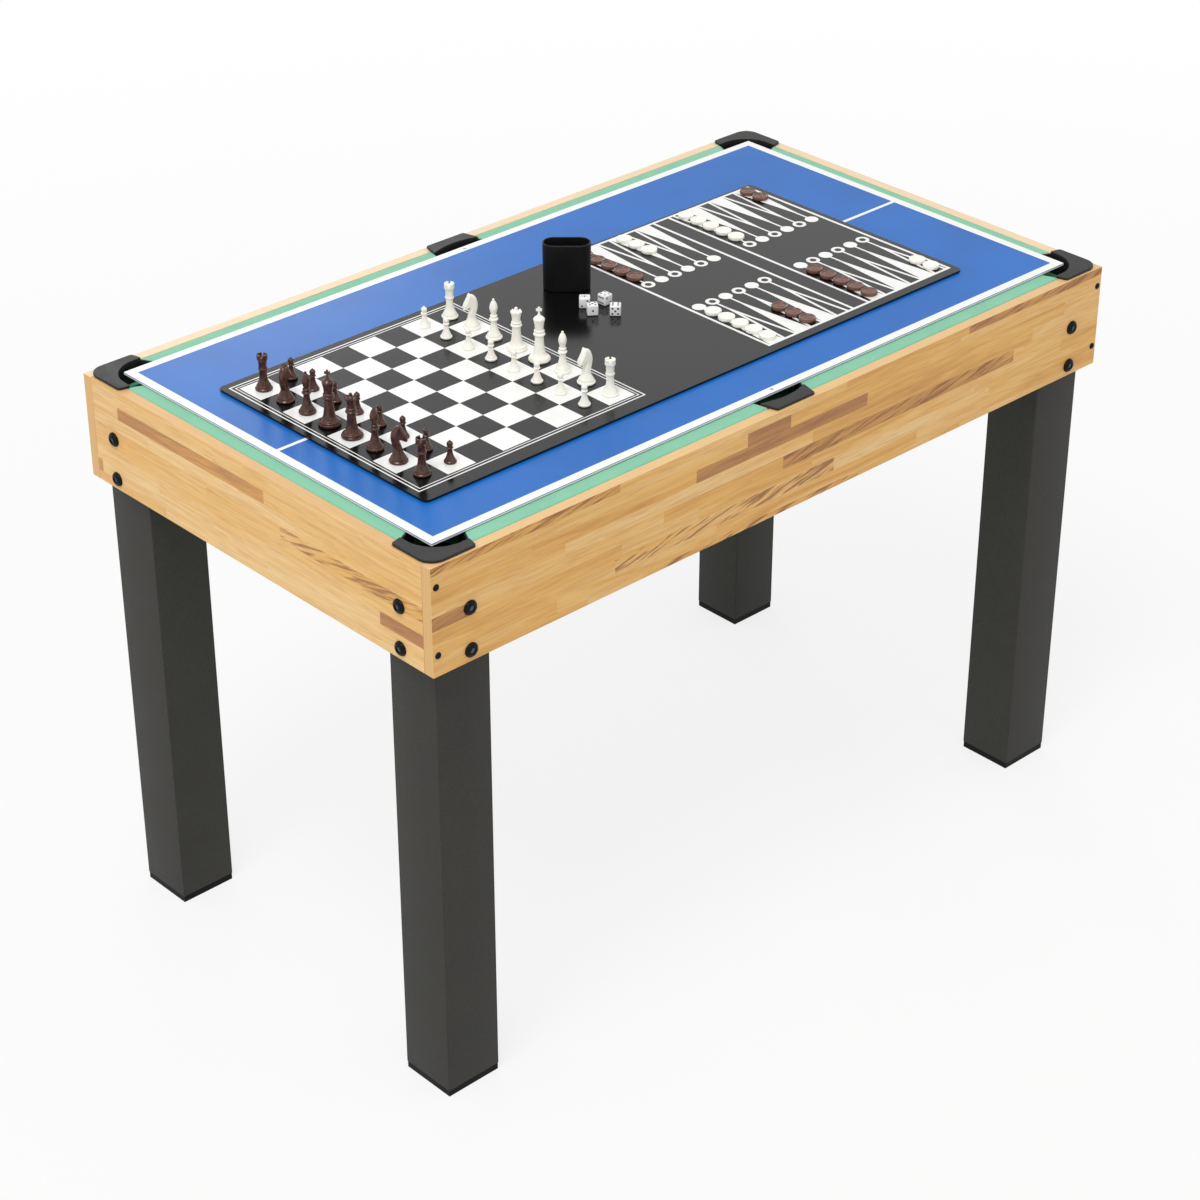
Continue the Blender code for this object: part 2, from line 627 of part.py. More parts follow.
def make_tennis_top():
    lift = add_empty("ping_pong_top_lift", (*TENNIS_OFFSET, TENNIS_UNDER))
    half_x = TENNIS_LENGTH / 2
    half_y = TENNIS_WIDTH / 2
    board = add_piece("ping_pong_top", block((-half_x, half_x), (-half_y, half_y), (0, TENNIS_THICKNESS)),
                      "tennis_blue", parent=lift)
    break_edges(board)
    hole = [(NET_HOLE_RADIUS, -CUT_OVERRUN), (NET_HOLE_RADIUS, TENNIS_THICKNESS + CUT_OVERRUN)]
    reach = half_y - NET_HOLE_EDGE
    spots = [Matrix.Translation((0, side * reach, 0)) for side in SIDES.values()]
    add_guide(board, "net_holes", copies(turned(hole, NET_HOLE_SIDES), spots), "DIFFERENCE", parent=lift)


def make_games_board():
    lift = add_empty("games_board_lift", (*GAMES_OFFSET, GAMES_UNDER))
    outline = rounded_rectangle(GAMES_LENGTH / 2, GAMES_WIDTH / 2, GAMES_CORNER_RADIUS, GAMES_CORNER_STEPS)
    add_piece("games_board", prism(outline, 0, GAMES_THICKNESS), "board_black", parent=lift,
              smooth=True)
    return lift


def knight_head():
    """Head and neck: the side view, thickest at its middle and drawn in towards both flanks."""
    outline = [(forward * KNIGHT_RADIUS, rise * KNIGHT_HEIGHT) for forward, rise in KNIGHT_HEAD_SHARES]
    middle_x = sum(x for x, _ in outline) / len(outline)
    middle_z = sum(z for _, z in outline) / len(outline)
    half = KNIGHT_THICKNESS / 2
    layers = ((-half, KNIGHT_FLANK_SHARE), (-half / 2, 1), (half / 2, 1), (half, KNIGHT_FLANK_SHARE))
    rings = []
    for across, share in layers:
        rings.append([Vector((middle_x + share * (x - middle_x), across, middle_z + share * (z - middle_z)))
                      for x, z in outline])
    return skin(bmesh.new(), rings)


def rook_crown_cut():
    """Cross-shaped cutter: two slots and an eight-sided bore, which leave four merlons."""
    half = CROWN_SLOT_WIDTH / 2
    corner = CROWN_BORE_RADIUS * math.cos(math.pi / 4)
    outline = []
    for quarter in range(4):
        turn = Matrix.Rotation(quarter * math.pi / 2, 2)
        for point in ((ROOK_RADIUS, -half), (ROOK_RADIUS, half), (CROWN_BORE_RADIUS, half),
                      (corner, corner), (half, CROWN_BORE_RADIUS)):
            outline.append(tuple(turn @ Vector(point)))
    return prism(outline, ROOK_HEIGHT - CROWN_SLOT_DEPTH, ROOK_HEIGHT + CUT_OVERRUN)


def bishop_mitre_cut():
    """Thin slanted slot in one side of the mitre."""
    half = MITRE_SLOT_WIDTH / 2
    slot = block((0, BISHOP_RADIUS), (-BISHOP_RADIUS, BISHOP_RADIUS), (-half, half))
    middle = MITRE_SLOT_SHARE * BISHOP_HEIGHT
    return transformed(slot, Matrix.Translation((0, 0, middle)) @ Matrix.Rotation(-MITRE_SLOT_TILT, 4, "Y"))


def raise_coronet(queen):
    """Lifts every other point of the rim of the queen's crown, as the tips of her coronet."""
    start = QUEEN_SHARES.index(CORONET_RIM_SHARE) * QUEEN_SIDES
    rim = list(queen.verts)[start:start + QUEEN_SIDES]
    for point in rim[::2]:
        point.co.z += CORONET_RISE
    around = {face for point in rim for face in point.link_faces}
    bmesh.ops.triangulate(queen, faces=list(around))


def king_cross():
    """Upright cross that stands on the king's crown."""
    half = CROSS_BAR / 2
    arm = CROSS_WIDTH / 2
    foot = KING_HEIGHT * KING_SHARES[-2][1]
    high = KING_HEIGHT - CROSS_BAR
    low = high - CROSS_BAR
    outline = [(-half, foot), (half, foot), (half, low), (arm, low), (arm, high), (half, high),
               (half, KING_HEIGHT), (-half, KING_HEIGHT), (-half, high), (-arm, high), (-arm, low),
               (-half, low)]
    return transformed(prism(outline, -half, half), Matrix.Rotation(math.pi / 2, 4, "X"))


# Turned outline, base radius, height and sides of each kind of man, and what is cut from or joined to it
MEN = {
    "pawn": (PAWN_SHARES, PAWN_RADIUS, PAWN_HEIGHT, PAWN_SIDES, None, None),
    "rook": (ROOK_SHARES, ROOK_RADIUS, ROOK_HEIGHT, MAN_SIDES, rook_crown_cut, "DIFFERENCE"),
    "knight": (KNIGHT_SHARES, KNIGHT_RADIUS, KNIGHT_HEIGHT, MAN_SIDES, knight_head, "UNION"),
    "bishop": (BISHOP_SHARES, BISHOP_RADIUS, BISHOP_HEIGHT, MAN_SIDES, bishop_mitre_cut, "DIFFERENCE"),
    "queen": (QUEEN_SHARES, QUEEN_RADIUS, QUEEN_HEIGHT, QUEEN_SIDES, None, None),
    "king": (KING_SHARES, KING_RADIUS, KING_HEIGHT, MAN_SIDES, king_cross, "UNION"),
}


def man_mesh(kind, finish):
    """Mesh of one kind of man, which all the men of that kind and shade share."""
    shares, radius, height, sides, detail, operation = MEN[kind]
    outline = [(share * radius, rise * height) for share, rise in shares]
    body = turned(outline, sides)
    if kind == "queen":
        raise_coronet(body)
    pattern = add_piece(kind, body, finish, smooth=True)
    if detail:
        add_guide(pattern, kind + "_detail", detail(), operation)
    solid = bpy.data.meshes.new_from_object(pattern.evaluated_get(bpy.context.evaluated_depsgraph_get()))
    solid.name = finish + "_" + kind
    for helper in [modifier.object for modifier in pattern.modifiers] + [pattern]:
        bpy.data.objects.remove(helper, do_unlink=True)
    return solid


def square_centre(file, rank):
    """Middle of a chess square: file 0 is at the board's left end, rank 0 at its far side."""
    left = CHESS_MARGIN - GAMES_LENGTH / 2
    far = PRINT_RISE + CHESS_SQUARE * CHESS_COUNT / 2
    return left + (file + 0.5) * CHESS_SQUARE, far - (rank + 0.5) * CHESS_SQUARE, 0


def make_chessmen(shade, finish, back_rank, back_file, pawn_file, knight_yaws, lift):
    """One side's sixteen men on their squares, numbered from the far side of the board."""
    meshes = {kind: man_mesh(kind, finish) for kind in MEN}
    places = [("pawn", pawn_file, rank) for rank in range(CHESS_COUNT)]
    places += [(kind, back_file, rank) for rank, kind in enumerate(back_rank)]
    totals = Counter(kind for kind, _, _ in places)
    placed = Counter()
    for kind, file, rank in places:
        placed[kind] += 1
        number = f"_{placed[kind]}" if totals[kind] > 1 else ""
        man = bpy.data.objects.new(shade + "_" + kind + number, meshes[kind])
        man.location = square_centre(file, rank)
        man.parent = lift
        if kind == "knight":
            man.rotation_euler.z = knight_yaws[placed[kind] - 1]
        if kind == "king":
            man.rotation_euler.z = KING_YAW
        bpy.context.scene.collection.objects.link(man)


def make_dice_cup(lift):
    """Oval cup, open at the top, with an even wall and a little draft."""
    half_x = DICE_CUP_LENGTH / 2
    half_y = DICE_CUP_BREADTH / 2
    rings = []
    for inset, height in ((DICE_CUP_DRAFT, 0), (0, DICE_CUP_HEIGHT), (DICE_CUP_WALL, DICE_CUP_HEIGHT),
                          (DICE_CUP_WALL + DICE_CUP_DRAFT, DICE_CUP_FLOOR)):
        corner = half_y - inset - SEAT_GAP
        outline = rounded_rectangle(half_x - inset, half_y - inset, corner, DICE_CUP_STEPS)
        rings.append(level(outline, height))
    add_piece("dice_cup", skin(bmesh.new(), rings), "cup_black", turn=DICE_CUP_YAW, parent=lift,
              smooth=True)


def make_loose_pieces(board_lift):
    on_board = (0, 0, GAMES_THICKNESS + SEAT_GAP)
    make_chessmen("dark", "man_brown", DARK_RANK, 0, 1, DARK_KNIGHT_YAWS,
                  add_empty("dark_chessmen_lift", on_board, board_lift))
    make_chessmen("light", "man_ivory", LIGHT_RANK, CHESS_COUNT - 1, CHESS_COUNT - 2, LIGHT_KNIGHT_YAWS,
                  add_empty("light_chessmen_lift", on_board, board_lift))
    share_x, share_y = DICE_CUP_PLACE_SHARES
    cup_place = (share_x * GAMES_LENGTH, share_y * GAMES_WIDTH, GAMES_THICKNESS + SEAT_GAP)
    make_dice_cup(add_empty("dice_cup_lift", cup_place, board_lift))


def main():
    clear_scene()
    make_aprons()
    make_legs()
    make_bed()
    make_cushions()
    make_pockets()
    make_tennis_top()
    make_loose_pieces(make_games_board())


main()
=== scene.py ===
# %% [markdown]
# # A multi game table
# The real object is a small pool table on four square legs. A blue table tennis top lies on its
# cushions, and a black games board lies on that, set out with chessmen, checkers, dice and a cup.
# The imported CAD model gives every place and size; this lesson dresses it piece by piece.
# Blender could import the CAD alone and only colour it, but its facets would show close up, so
# rounded pieces are made again here from finer outlines and stand exactly where the CAD ones do.

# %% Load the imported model
import math
import random

import bmesh
import bpy
from mathutils import Matrix, Vector


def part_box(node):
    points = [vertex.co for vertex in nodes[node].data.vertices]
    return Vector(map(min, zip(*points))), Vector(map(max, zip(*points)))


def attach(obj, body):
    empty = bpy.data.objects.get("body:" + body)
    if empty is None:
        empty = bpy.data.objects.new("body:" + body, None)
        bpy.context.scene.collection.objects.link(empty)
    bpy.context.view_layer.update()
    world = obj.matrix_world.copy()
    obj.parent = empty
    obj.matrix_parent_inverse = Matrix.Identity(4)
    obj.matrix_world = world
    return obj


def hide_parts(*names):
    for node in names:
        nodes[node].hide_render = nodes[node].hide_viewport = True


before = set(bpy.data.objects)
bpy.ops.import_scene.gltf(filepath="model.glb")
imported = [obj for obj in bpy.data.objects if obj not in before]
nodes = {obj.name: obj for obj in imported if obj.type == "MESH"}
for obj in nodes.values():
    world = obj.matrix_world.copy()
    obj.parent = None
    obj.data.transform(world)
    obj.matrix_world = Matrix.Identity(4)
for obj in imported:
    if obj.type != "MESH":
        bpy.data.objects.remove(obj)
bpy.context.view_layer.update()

# %% [markdown]
# ## Main sizes
# A table maker starts from a few figures: how long, wide and high the frame is, and where the bed
# lies in it. The CAD nodes could be measured for them each time, but written once they keep the
# lesson readable. The gap is what the CAD leaves between pieces that touch on the real table.

# %% Main sizes, in metres
HALF_LENGTH, HALF_WIDTH, TABLE_HEIGHT = 0.610, 0.345, 0.8
BED_TOP, BED_UNDERSIDE = 0.772, 0.7627
GAP = 0.0003
CORNERS = {"front_left": (-1, -1), "front_right": (1, -1), "back_left": (-1, 1), "back_right": (1, 1)}
print("frame:", 2 * HALF_LENGTH, "x", 2 * HALF_WIDTH, "x", TABLE_HEIGHT)

# %% [markdown]
# ## The camera
# The photograph looks down at the table's front left corner through a long lens. A camera can be
# turned by hand until the edges agree; here its place, heading and lens come from a fit to the
# table's corners, because a fit settles all of them together. It has no shift and no blur.

# %% Set the camera
HEADING, TILT = math.radians(43.13), math.radians(30.82)
VIEWPOINT = (-2.469, -2.614, 2.506)
LENS, SENSOR = 88.9, 36


def add_object(name, data):
    """Makes an object from a mesh, a lamp or a camera and links it to the scene."""
    item = bpy.data.objects.new(name, data)
    bpy.context.scene.collection.objects.link(item)
    return item


def look_along(item, direction):
    """Turns a camera or a lamp, both of which look down their own Z axis."""
    item.rotation_euler = direction.to_track_quat("-Z", "Y").to_euler()


camera = add_object("camera", bpy.data.cameras.new("camera"))
bpy.context.scene.camera = camera
camera.location = VIEWPOINT
camera.data.lens = LENS
camera.data.sensor_width = SENSOR
level_part = math.cos(TILT)
line_of_sight = Vector((level_part * math.sin(HEADING), level_part * math.cos(HEADING), -math.sin(TILT)))
look_along(camera, line_of_sight)
print("camera looks along", [round(part, 3) for part in line_of_sight])

# %% [markdown]
# ## Working with nodes
# Finishes here are procedural: small graphs of noise, waves and ramps, with no images. They could
# be wired by hand in the shader editor. A few helpers keep the wiring readable in code: they add
# a node, fill its sockets, do arithmetic and mix colours.

# %% Helpers for shader graphs
def fill(tree, socket, value):
    """Links the socket when the value is another node's output, and otherwise stores the value."""
    if isinstance(value, bpy.types.NodeSocket):
        tree.links.new(value, socket)
    else:
        socket.default_value = value


def wire(tree, node, **sockets):
    """Fills sockets by name; a low line stands for a space in a socket's name."""
    for name, value in sockets.items():
        fill(tree, node.inputs[name.replace("_", " ")], value)
    return node


def add_node(tree, kind, *values, **sockets):
    """Adds a node and fills its first sockets in order and others by name."""
    node = tree.nodes.new("ShaderNode" + kind)
    for socket, value in zip(node.inputs, values):
        fill(tree, socket, value)
    return wire(tree, node, **sockets)


def reckon(tree, operation, *values):
    node = add_node(tree, "Math", *values)
    node.operation = operation
    return node.outputs[0]


def mix(tree, share, first, second):
    """Mixes two colours. The node has sockets for numbers and vectors as well, so 6 and 7 it is."""
    node = tree.nodes.new("ShaderNodeMix")
    node.data_type = "RGBA"
    for index, value in ((0, share), (6, first), (7, second)):
        fill(tree, node.inputs[index], value)
    return node.outputs[2]


print("graph helpers ready")

# %% [markdown]
# Colours are written as a screen shows them, from 0 to 255, and turned into the linear values
# that light works in. Object coordinates place each pattern in metres, so that a grain of one
# millimetre is one millimetre on every piece, and the pattern travels with a piece that moves.

# %% Helpers for finishes
def paint(red, green, blue):
    """A colour as it looks on a screen, as the linear value that a shader takes."""
    shares = [value / 255 for value in (red, green, blue)]
    return (*[share / 12.92 if share <= 0.04045 else ((share + 0.055) / 1.055) ** 2.4
              for share in shares], 1)


def toned(colour, factor, lift=0):
    """The colour made darker or lighter by a factor, and lifted by a step."""
    return paint(*[min(255, value * factor + lift) for value in colour])


def new_finish(name, roughness, specular=0.5):
    """A new material, its node tree, its shader and the coordinates of the piece that wears it."""
    material = bpy.data.materials.new(name)
    material.use_nodes = True
    tree = material.node_tree
    shader = wire(tree, tree.nodes["Principled BSDF"], Roughness=roughness, Specular_IOR_Level=specular)
    return material, tree, shader, add_node(tree, "TexCoord").outputs["Object"]


def noise(tree, place, scale, detail=3, stretch=(1, 1, 1), twist=0):
    """Noise with features of about one over the scale, in metres, drawn out along the axes."""
    drawn = add_node(tree, "Mapping", Vector=place, Scale=stretch)
    return add_node(tree, "TexNoise", Vector=drawn.outputs[0], Scale=scale, Detail=detail,
                    Distortion=twist).outputs[0]


def between(tree, value, low, high, start=0.3, end=0.7):
    """Moves a noise value from its usual span to the one from low to high."""
    return add_node(tree, "MapRange", Value=value, From_Min=start, From_Max=end, To_Min=low,
                    To_Max=high).outputs[0]


def mottled(tree, pattern, share, first, second):
    """The first colour, with up to a share of the second where the pattern is strong."""
    return mix(tree, between(tree, pattern, 0, share), first, second)


def emboss(tree, shader, height, depth):
    bump = add_node(tree, "Bump", Height=height, Distance=depth, Strength=1)
    wire(tree, shader, Normal=bump.outputs[0])


WHITE = paint(255, 255, 255)
print("white as a shader takes it:", WHITE)

# %% [markdown]
# ## Floor and light
# The photograph is a plain studio picture on white. Photographers stand the object on a white
# sweep between large soft boxes. Here the world is one even soft box, an area lamp over the left
# end gives the top its edge over the sides, and a low lamp behind lays a pale sheen on the far
# lacquer. What the camera and reflections see of the world is plain white; the floor keeps a
# faint shadow, so that the table stands on something.

# %% Light the stage
WORLD_LEVEL = 0.68

bpy.context.scene.view_settings.view_transform = "Standard"
world = bpy.data.worlds.new("soft_box")
world.use_nodes = True
bpy.context.scene.world = world
sky = world.node_tree
sky.nodes.clear()


def seen_directly(tree):
    """One for what the camera, a gloss or a glass looks at, and zero for light that spreads."""
    path = add_node(tree, "LightPath").outputs
    either = reckon(tree, "MAXIMUM", path["Is Camera Ray"], path["Is Glossy Ray"])
    return reckon(tree, "MAXIMUM", either, path["Is Transmission Ray"])


def mix_shaders(tree, share, first, second):
    return add_node(tree, "MixShader", share, first.outputs[0], second.outputs[0]).outputs[0]


even_light = add_node(sky, "Background", Color=WHITE, Strength=WORLD_LEVEL)
backdrop = add_node(sky, "Background", Color=WHITE, Strength=1)
add_node(sky, "OutputWorld", mix_shaders(sky, seen_directly(sky), even_light, backdrop))


def add_lamp(name, place, aim, size, power):
    """A round area lamp of that width in metres and power in watts."""
    lamp = add_object(name, bpy.data.lights.new(name, "AREA"))
    lamp.data.shape = "DISK"
    lamp.data.size = size
    lamp.data.energy = power
    lamp.location = place
    look_along(lamp, Vector(aim) - Vector(place))


add_lamp("key_lamp", (-3.2, -1.3, 6.4), (0, 0, 0.7), 3.0, 184)
add_lamp("back_lamp", (2.6, 4.6, 2.2), (0, 0, 0.8), 1.4, 24)

# %% [markdown]
# The floor is one large sheet. Most of what the camera sees of it is its own white glow and the
# rest is lit paint, which keeps the shadow soft and pale without adding light to the object. Away
# from the table the glow takes over, so the sheet has no edge against the white behind it.

# %% Lay the floor
FLOOR_HALF = 9
FLOOR_GLOW = 0.8
FADE_START, FADE_END = 1.3, 3.6


def freeze(name, shape):
    """Turns a surface that is being edited into a mesh."""
    mesh = bpy.data.meshes.new(name)
    shape.to_mesh(mesh)
    shape.free()
    return mesh


def floor_paint():
    material, tree, shader, place = new_finish("floor_paint", 0.9, 0.0)
    wire(tree, shader, Base_Color=paint(240, 240, 240))
    glow = add_node(tree, "Emission", Color=WHITE, Strength=1)
    distance = add_node(tree, "VectorMath", place)
    distance.operation = "LENGTH"
    faded = between(tree, distance.outputs["Value"], FLOOR_GLOW, 1, FADE_START, FADE_END)
    share = reckon(tree, "MULTIPLY", seen_directly(tree), faded)
    wire(tree, tree.nodes["Material Output"], Surface=mix_shaders(tree, share, shader, glow))
    return material


sheet = bmesh.new()
bmesh.ops.create_grid(sheet, x_segments=2, y_segments=2, size=FLOOR_HALF)
floor = add_object("floor", freeze("floor", sheet))
floor.data.materials.append(floor_paint())
print("floor side:", 2 * FLOOR_HALF, "m")

# %% [markdown]
# ## Shaping pieces
# Almost every piece of this table is a section carried along a line: a board, a moulding, a tube,
# a turned man. So one helper, skin, joins rings of points into a closed surface, and the others
# make rings for it. Modelling with primitives and modifiers would work too, but rings keep each
# outline in one readable list of sizes.

# %% Helpers that make surfaces
def skin(rings, lids=True, closed=False, shape=None):
    """A surface over rings of equally many points, closed at its ends by lids or onto itself."""
    shape = shape or bmesh.new()
    rows = [[shape.verts.new(point) for point in ring] for ring in rings]
    for row, following in zip(rows, rows[1:] + rows[:1] if closed else rows[1:]):
        for index in range(len(row)):
            after = (index + 1) % len(row)
            shape.faces.new((row[index], row[after], following[after], following[index]))
    if lids and not closed:
        shape.faces.new(rows[0][::-1])
        shape.faces.new(rows[-1])
    return shape


def arc(centre, radius, start, end, steps):
    return [(centre[0] + radius * math.cos(start + (end - start) * step / steps),
             centre[1] + radius * math.sin(start + (end - start) * step / steps))
            for step in range(steps + 1)]


def rectangle(half_x, half_y):
    return [(-half_x, -half_y), (half_x, -half_y), (half_x, half_y), (-half_x, half_y)]


def level(outline, height):
    return [Vector((x, y, height)) for x, y in outline]


def prism(outline, low, high, shape=None):
    return skin([level(outline, low), level(outline, high)], shape=shape)


def ring(radius, height, steps, outline=None):
    """Points round the axis; an outline, if given, says by angle what share of the radius counts."""
    angles = [2 * math.pi * step / steps for step in range(steps)]
    reaches = [radius * outline(angle) if outline else radius for angle in angles]
    return [Vector((reach * math.cos(angle), reach * math.sin(angle), height))
            for reach, angle in zip(reaches, angles)]


def turned(profile, steps):
    """A lathe: each point of the profile is a distance from the axis and a height."""
    shape = skin([ring(radius, height, steps) for radius, height in profile], lids=False)
    bmesh.ops.remove_doubles(shape, verts=shape.verts[:], dist=1e-7)
    return shape


print("points in a quarter circle of 6 steps:", len(arc((0, 0), 1, 0, math.pi / 2, 6)))

# %% [markdown]
# A finished surface becomes a mesh once and can then be set down many times, as a factory uses
# one mould for many castings. Each piece names the CAD node that it stands for and the body that it
# moves with.

# %% Helpers that set pieces down
pieces = []


def to_mesh(name, shape, *finishes, crease=35):
    """A mesh from the surface, smooth except where it turns by more than the crease, in degrees."""
    bmesh.ops.recalc_face_normals(shape, faces=shape.faces[:])
    mesh = freeze(name, shape)
    mesh.shade_smooth()
    mesh.set_sharp_from_angle(angle=math.radians(crease))
    for finish in finishes:
        mesh.materials.append(finish)
    return mesh


def set_down(name, mesh, place=(0, 0, 0), turn=0, body="table", stands_for=(), axes=None):
    """Puts a mesh at its place; axes is a whole matrix for pieces that don't stand upright."""
    piece = add_object(name, mesh)
    piece.matrix_world = axes or Matrix.Translation(place) @ Matrix.Rotation(turn, 4, "Z")
    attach(piece, body)
    if stands_for:
        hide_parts(*stands_for)
    pieces.append(piece)
    return piece


def soften(piece, width, segments=2, angle=40):
    """Rounds the sharp edges a little, as sanding or a mould's radius does."""
    bevel = piece.modifiers.new("soft_edges", "BEVEL")
    bevel.width = width
    bevel.segments = segments
    bevel.limit_method = "ANGLE"
    bevel.angle_limit = math.radians(angle)
    bevel.harden_normals = True


def count(word):
    return sum(word in piece.name for piece in pieces)


print("pieces set down so far:", len(pieces))

# %% [markdown]
# ## Butcher block boards
# The frame is made of chipboard boards under a printed film that looks like glued staves: rows
# of honey coloured strips, with a few brown ones and a few with flamed grain. A brick texture
# would give such rows, but its bricks are all one length. So the faces of each board are cut
# into real staves, and every stave stores its own tone, flame and shift for the shader to read.

# %% Lay out the staves
BOARD_HEIGHT = 0.148
BOARD_THICKNESS = 0.016
LONG_BOARD, SHORT_BOARD = 2 * HALF_LENGTH, 0.6574
LONG_FIRST_ROW, SHORT_FIRST_ROW = 0.0113, 0.0045
STAVE_PITCH = 0.0184
NARROWEST_ROW = 0.002
STAVE_LENGTHS = (0.12, 0.44)
SHORTEST_STAVE, SMALLEST_REST = 0.05, 0.004
PLAIN_TONES, DARK_TONES = (0.08, 0.30), (0.72, 0.90)
DARK_SHARE, DARK_FLAME = 0.10, 0.3
SHIFTS = (0, 9)

# Row from the top, start and end from the board's left as seen from outside, tone, flame
FRONT_STAVES = (
    (0, 0.000, 0.300, 0.60, 1.0), (0, 0.940, 1.220, 0.70, 1.0), (1, 0.520, 0.598, 0.80, 0.3),
    (2, 0.430, 0.742, 0.78, 0.3), (4, 0.000, 0.067, 0.76, 0.7), (4, 0.586, 1.038, 0.66, 1.0),
    (6, 0.292, 0.682, 0.30, 1.0), (6, 0.682, 0.990, 0.20, 0.0), (8, 0.340, 0.730, 0.46, 1.0),
    (3, 0.210, 0.640, 0.22, 0.0), (5, 0.640, 0.960, 0.40, 0.0), (1, 0.000, 0.310, 0.36, 0.0))
LEFT_STAVES = (
    (2, 0.055, 0.360, 0.64, 0.2), (4, 0.390, 0.6574, 0.34, 0.9), (6, 0.578, 0.6574, 0.76, 0.4),
    (7, 0.000, 0.010, 0.70, 0.0), (4, 0.005, 0.240, 0.36, 0.0), (3, 0.120, 0.420, 0.05, 0.0))


def stave_rows(first_row):
    """Heights of the rows' borders, from the top down; the first row may be cut narrower."""
    drops = [0.0]
    following = first_row
    while following < BOARD_HEIGHT - NARROWEST_ROW:
        drops.append(following)
        following += STAVE_PITCH
    return [TABLE_HEIGHT - drop for drop in drops] + [TABLE_HEIGHT - BOARD_HEIGHT]


def made_up_staves(chance, start, end, mixed, lift):
    """Staves of chance lengths and tones; mixed says whether dark ones may be among them."""
    staves = []
    while end - start > SMALLEST_REST:
        stop = min(end, start + chance.uniform(*STAVE_LENGTHS))
        stop = end if end - stop < SHORTEST_STAVE else stop
        dark = mixed and chance.random() < DARK_SHARE
        tone = chance.uniform(*DARK_TONES) if dark else chance.uniform(*PLAIN_TONES) + lift
        staves.append((start, stop, tone, DARK_FLAME * dark, chance.uniform(*SHIFTS)))
        start = stop
    return staves


def lay_staves(length, row_count, known, seed, lift):
    """For each row its staves, as start, end, tone, flame and a shift that moves the grain."""
    chance = random.Random(seed)
    rows = []
    for row in range(row_count):
        staves, reached = [], 0.0
        for start, end, tone, flame in sorted(stave[1:] for stave in known if stave[0] == row):
            staves += made_up_staves(chance, reached, start, not known, lift)
            staves.append((start, end, tone, flame, chance.uniform(*SHIFTS)))
            reached = end
        rows.append(staves + made_up_staves(chance, reached, length, not known, lift))
    return rows


print("rows on a long board:", len(stave_rows(LONG_FIRST_ROW)) - 1)

# %% [markdown]
# The stave borders of all rows make one grid, which keeps the face watertight. Extruding it gives
# the board its thickness. Faces that look up, down or along the board get the plain edge bands.

# %% Make a board from its staves
def store_staves(mesh, length, heights, staves):
    """Writes onto each face the tone, flame and shift of the stave that it belongs to."""
    layers = [mesh.attributes.new("stave_" + key, "FLOAT", "FACE") for key in ("tone", "flame", "shift")]
    for face in mesh.polygons:
        along, height = face.center.x + length / 2, face.center.z
        row = next(i for i in range(len(heights) - 1) if height >= heights[i + 1] - 1e-6)
        stave = min(staves[row], key=lambda entry: max(entry[0] - along, along - entry[1], 0))
        for layer, value in zip(layers, stave[2:]):
            layer.data[face.index].value = value


def board_mesh(name, length, heights, staves, finishes):
    edges = {round(edge, 4) for row in staves for stave in row for edge in stave[:2]}
    cuts = sorted(edges | {0.0, length})
    shape = bmesh.new()
    grid = [[shape.verts.new((cut - length / 2, 0, height)) for cut in cuts] for height in heights]
    for upper, lower in zip(grid, grid[1:]):
        for index in range(len(cuts) - 1):
            shape.faces.new((upper[index], lower[index], lower[index + 1], upper[index + 1]))
    back = bmesh.ops.extrude_face_region(shape, geom=shape.faces[:])
    moved = [item for item in back["geom"] if isinstance(item, bmesh.types.BMVert)]
    bmesh.ops.translate(shape, verts=moved, vec=(0, BOARD_THICKNESS, 0))
    mesh = to_mesh(name, shape, *finishes)
    store_staves(mesh, length, heights, staves)
    for face in mesh.polygons:
        face.material_index = 1 if abs(face.normal.z) > 0.5 else 2 if abs(face.normal.x) > 0.5 else 0
    return mesh


print("boards are", BOARD_THICKNESS, "m thick")

# %% [markdown]
# The print itself: a ramp turns a stave's tone into honey or brown, and two sizes of drawn-out
# noise add the soft and the broad grain. The flames are long thin strokes that climb a little
# across their stave, so their noise is drawn out along a slanted line.

# %% Butcher block print
FLAME_SLANT = math.radians(-12)
FLAME_SIZE = (0.055, 0.020, 0.0038)
TONES = {0.0: (244, 207, 146), 0.20: (240, 196, 129), 0.42: (234, 181, 101), 0.62: (212, 156, 85),
         0.82: (180, 126, 80), 1.0: (154, 102, 66)}
GRAIN_DEPTH = 0.00005


def stored(tree, name):
    node = add_node(tree, "Attribute")
    node.attribute_name = name
    return node.outputs["Fac"]


def tone_ramp(tree, value):
    """A ramp has its first and last colour from the start; the others are put between them."""
    ramp = add_node(tree, "ValToRGB", Fac=value)
    stops = ramp.color_ramp.elements
    stops[0].color, stops[1].color = paint(*TONES[0.0]), paint(*TONES[1.0])
    for position in sorted(TONES)[1:-1]:
        stops.new(position).color = paint(*TONES[position])
    return ramp.outputs[0]


def flame_strokes(tree, place):
    slant = add_node(tree, "Mapping", Vector=place, Rotation=(0, FLAME_SLANT, 0), Scale=FLAME_SIZE)
    slant.vector_type = "TEXTURE"
    strokes = add_node(tree, "TexNoise", Vector=slant.outputs[0], Scale=1, Detail=3, Distortion=0.4)
    return between(tree, strokes.outputs[0], 0, 0.85, 0.475, 0.60)


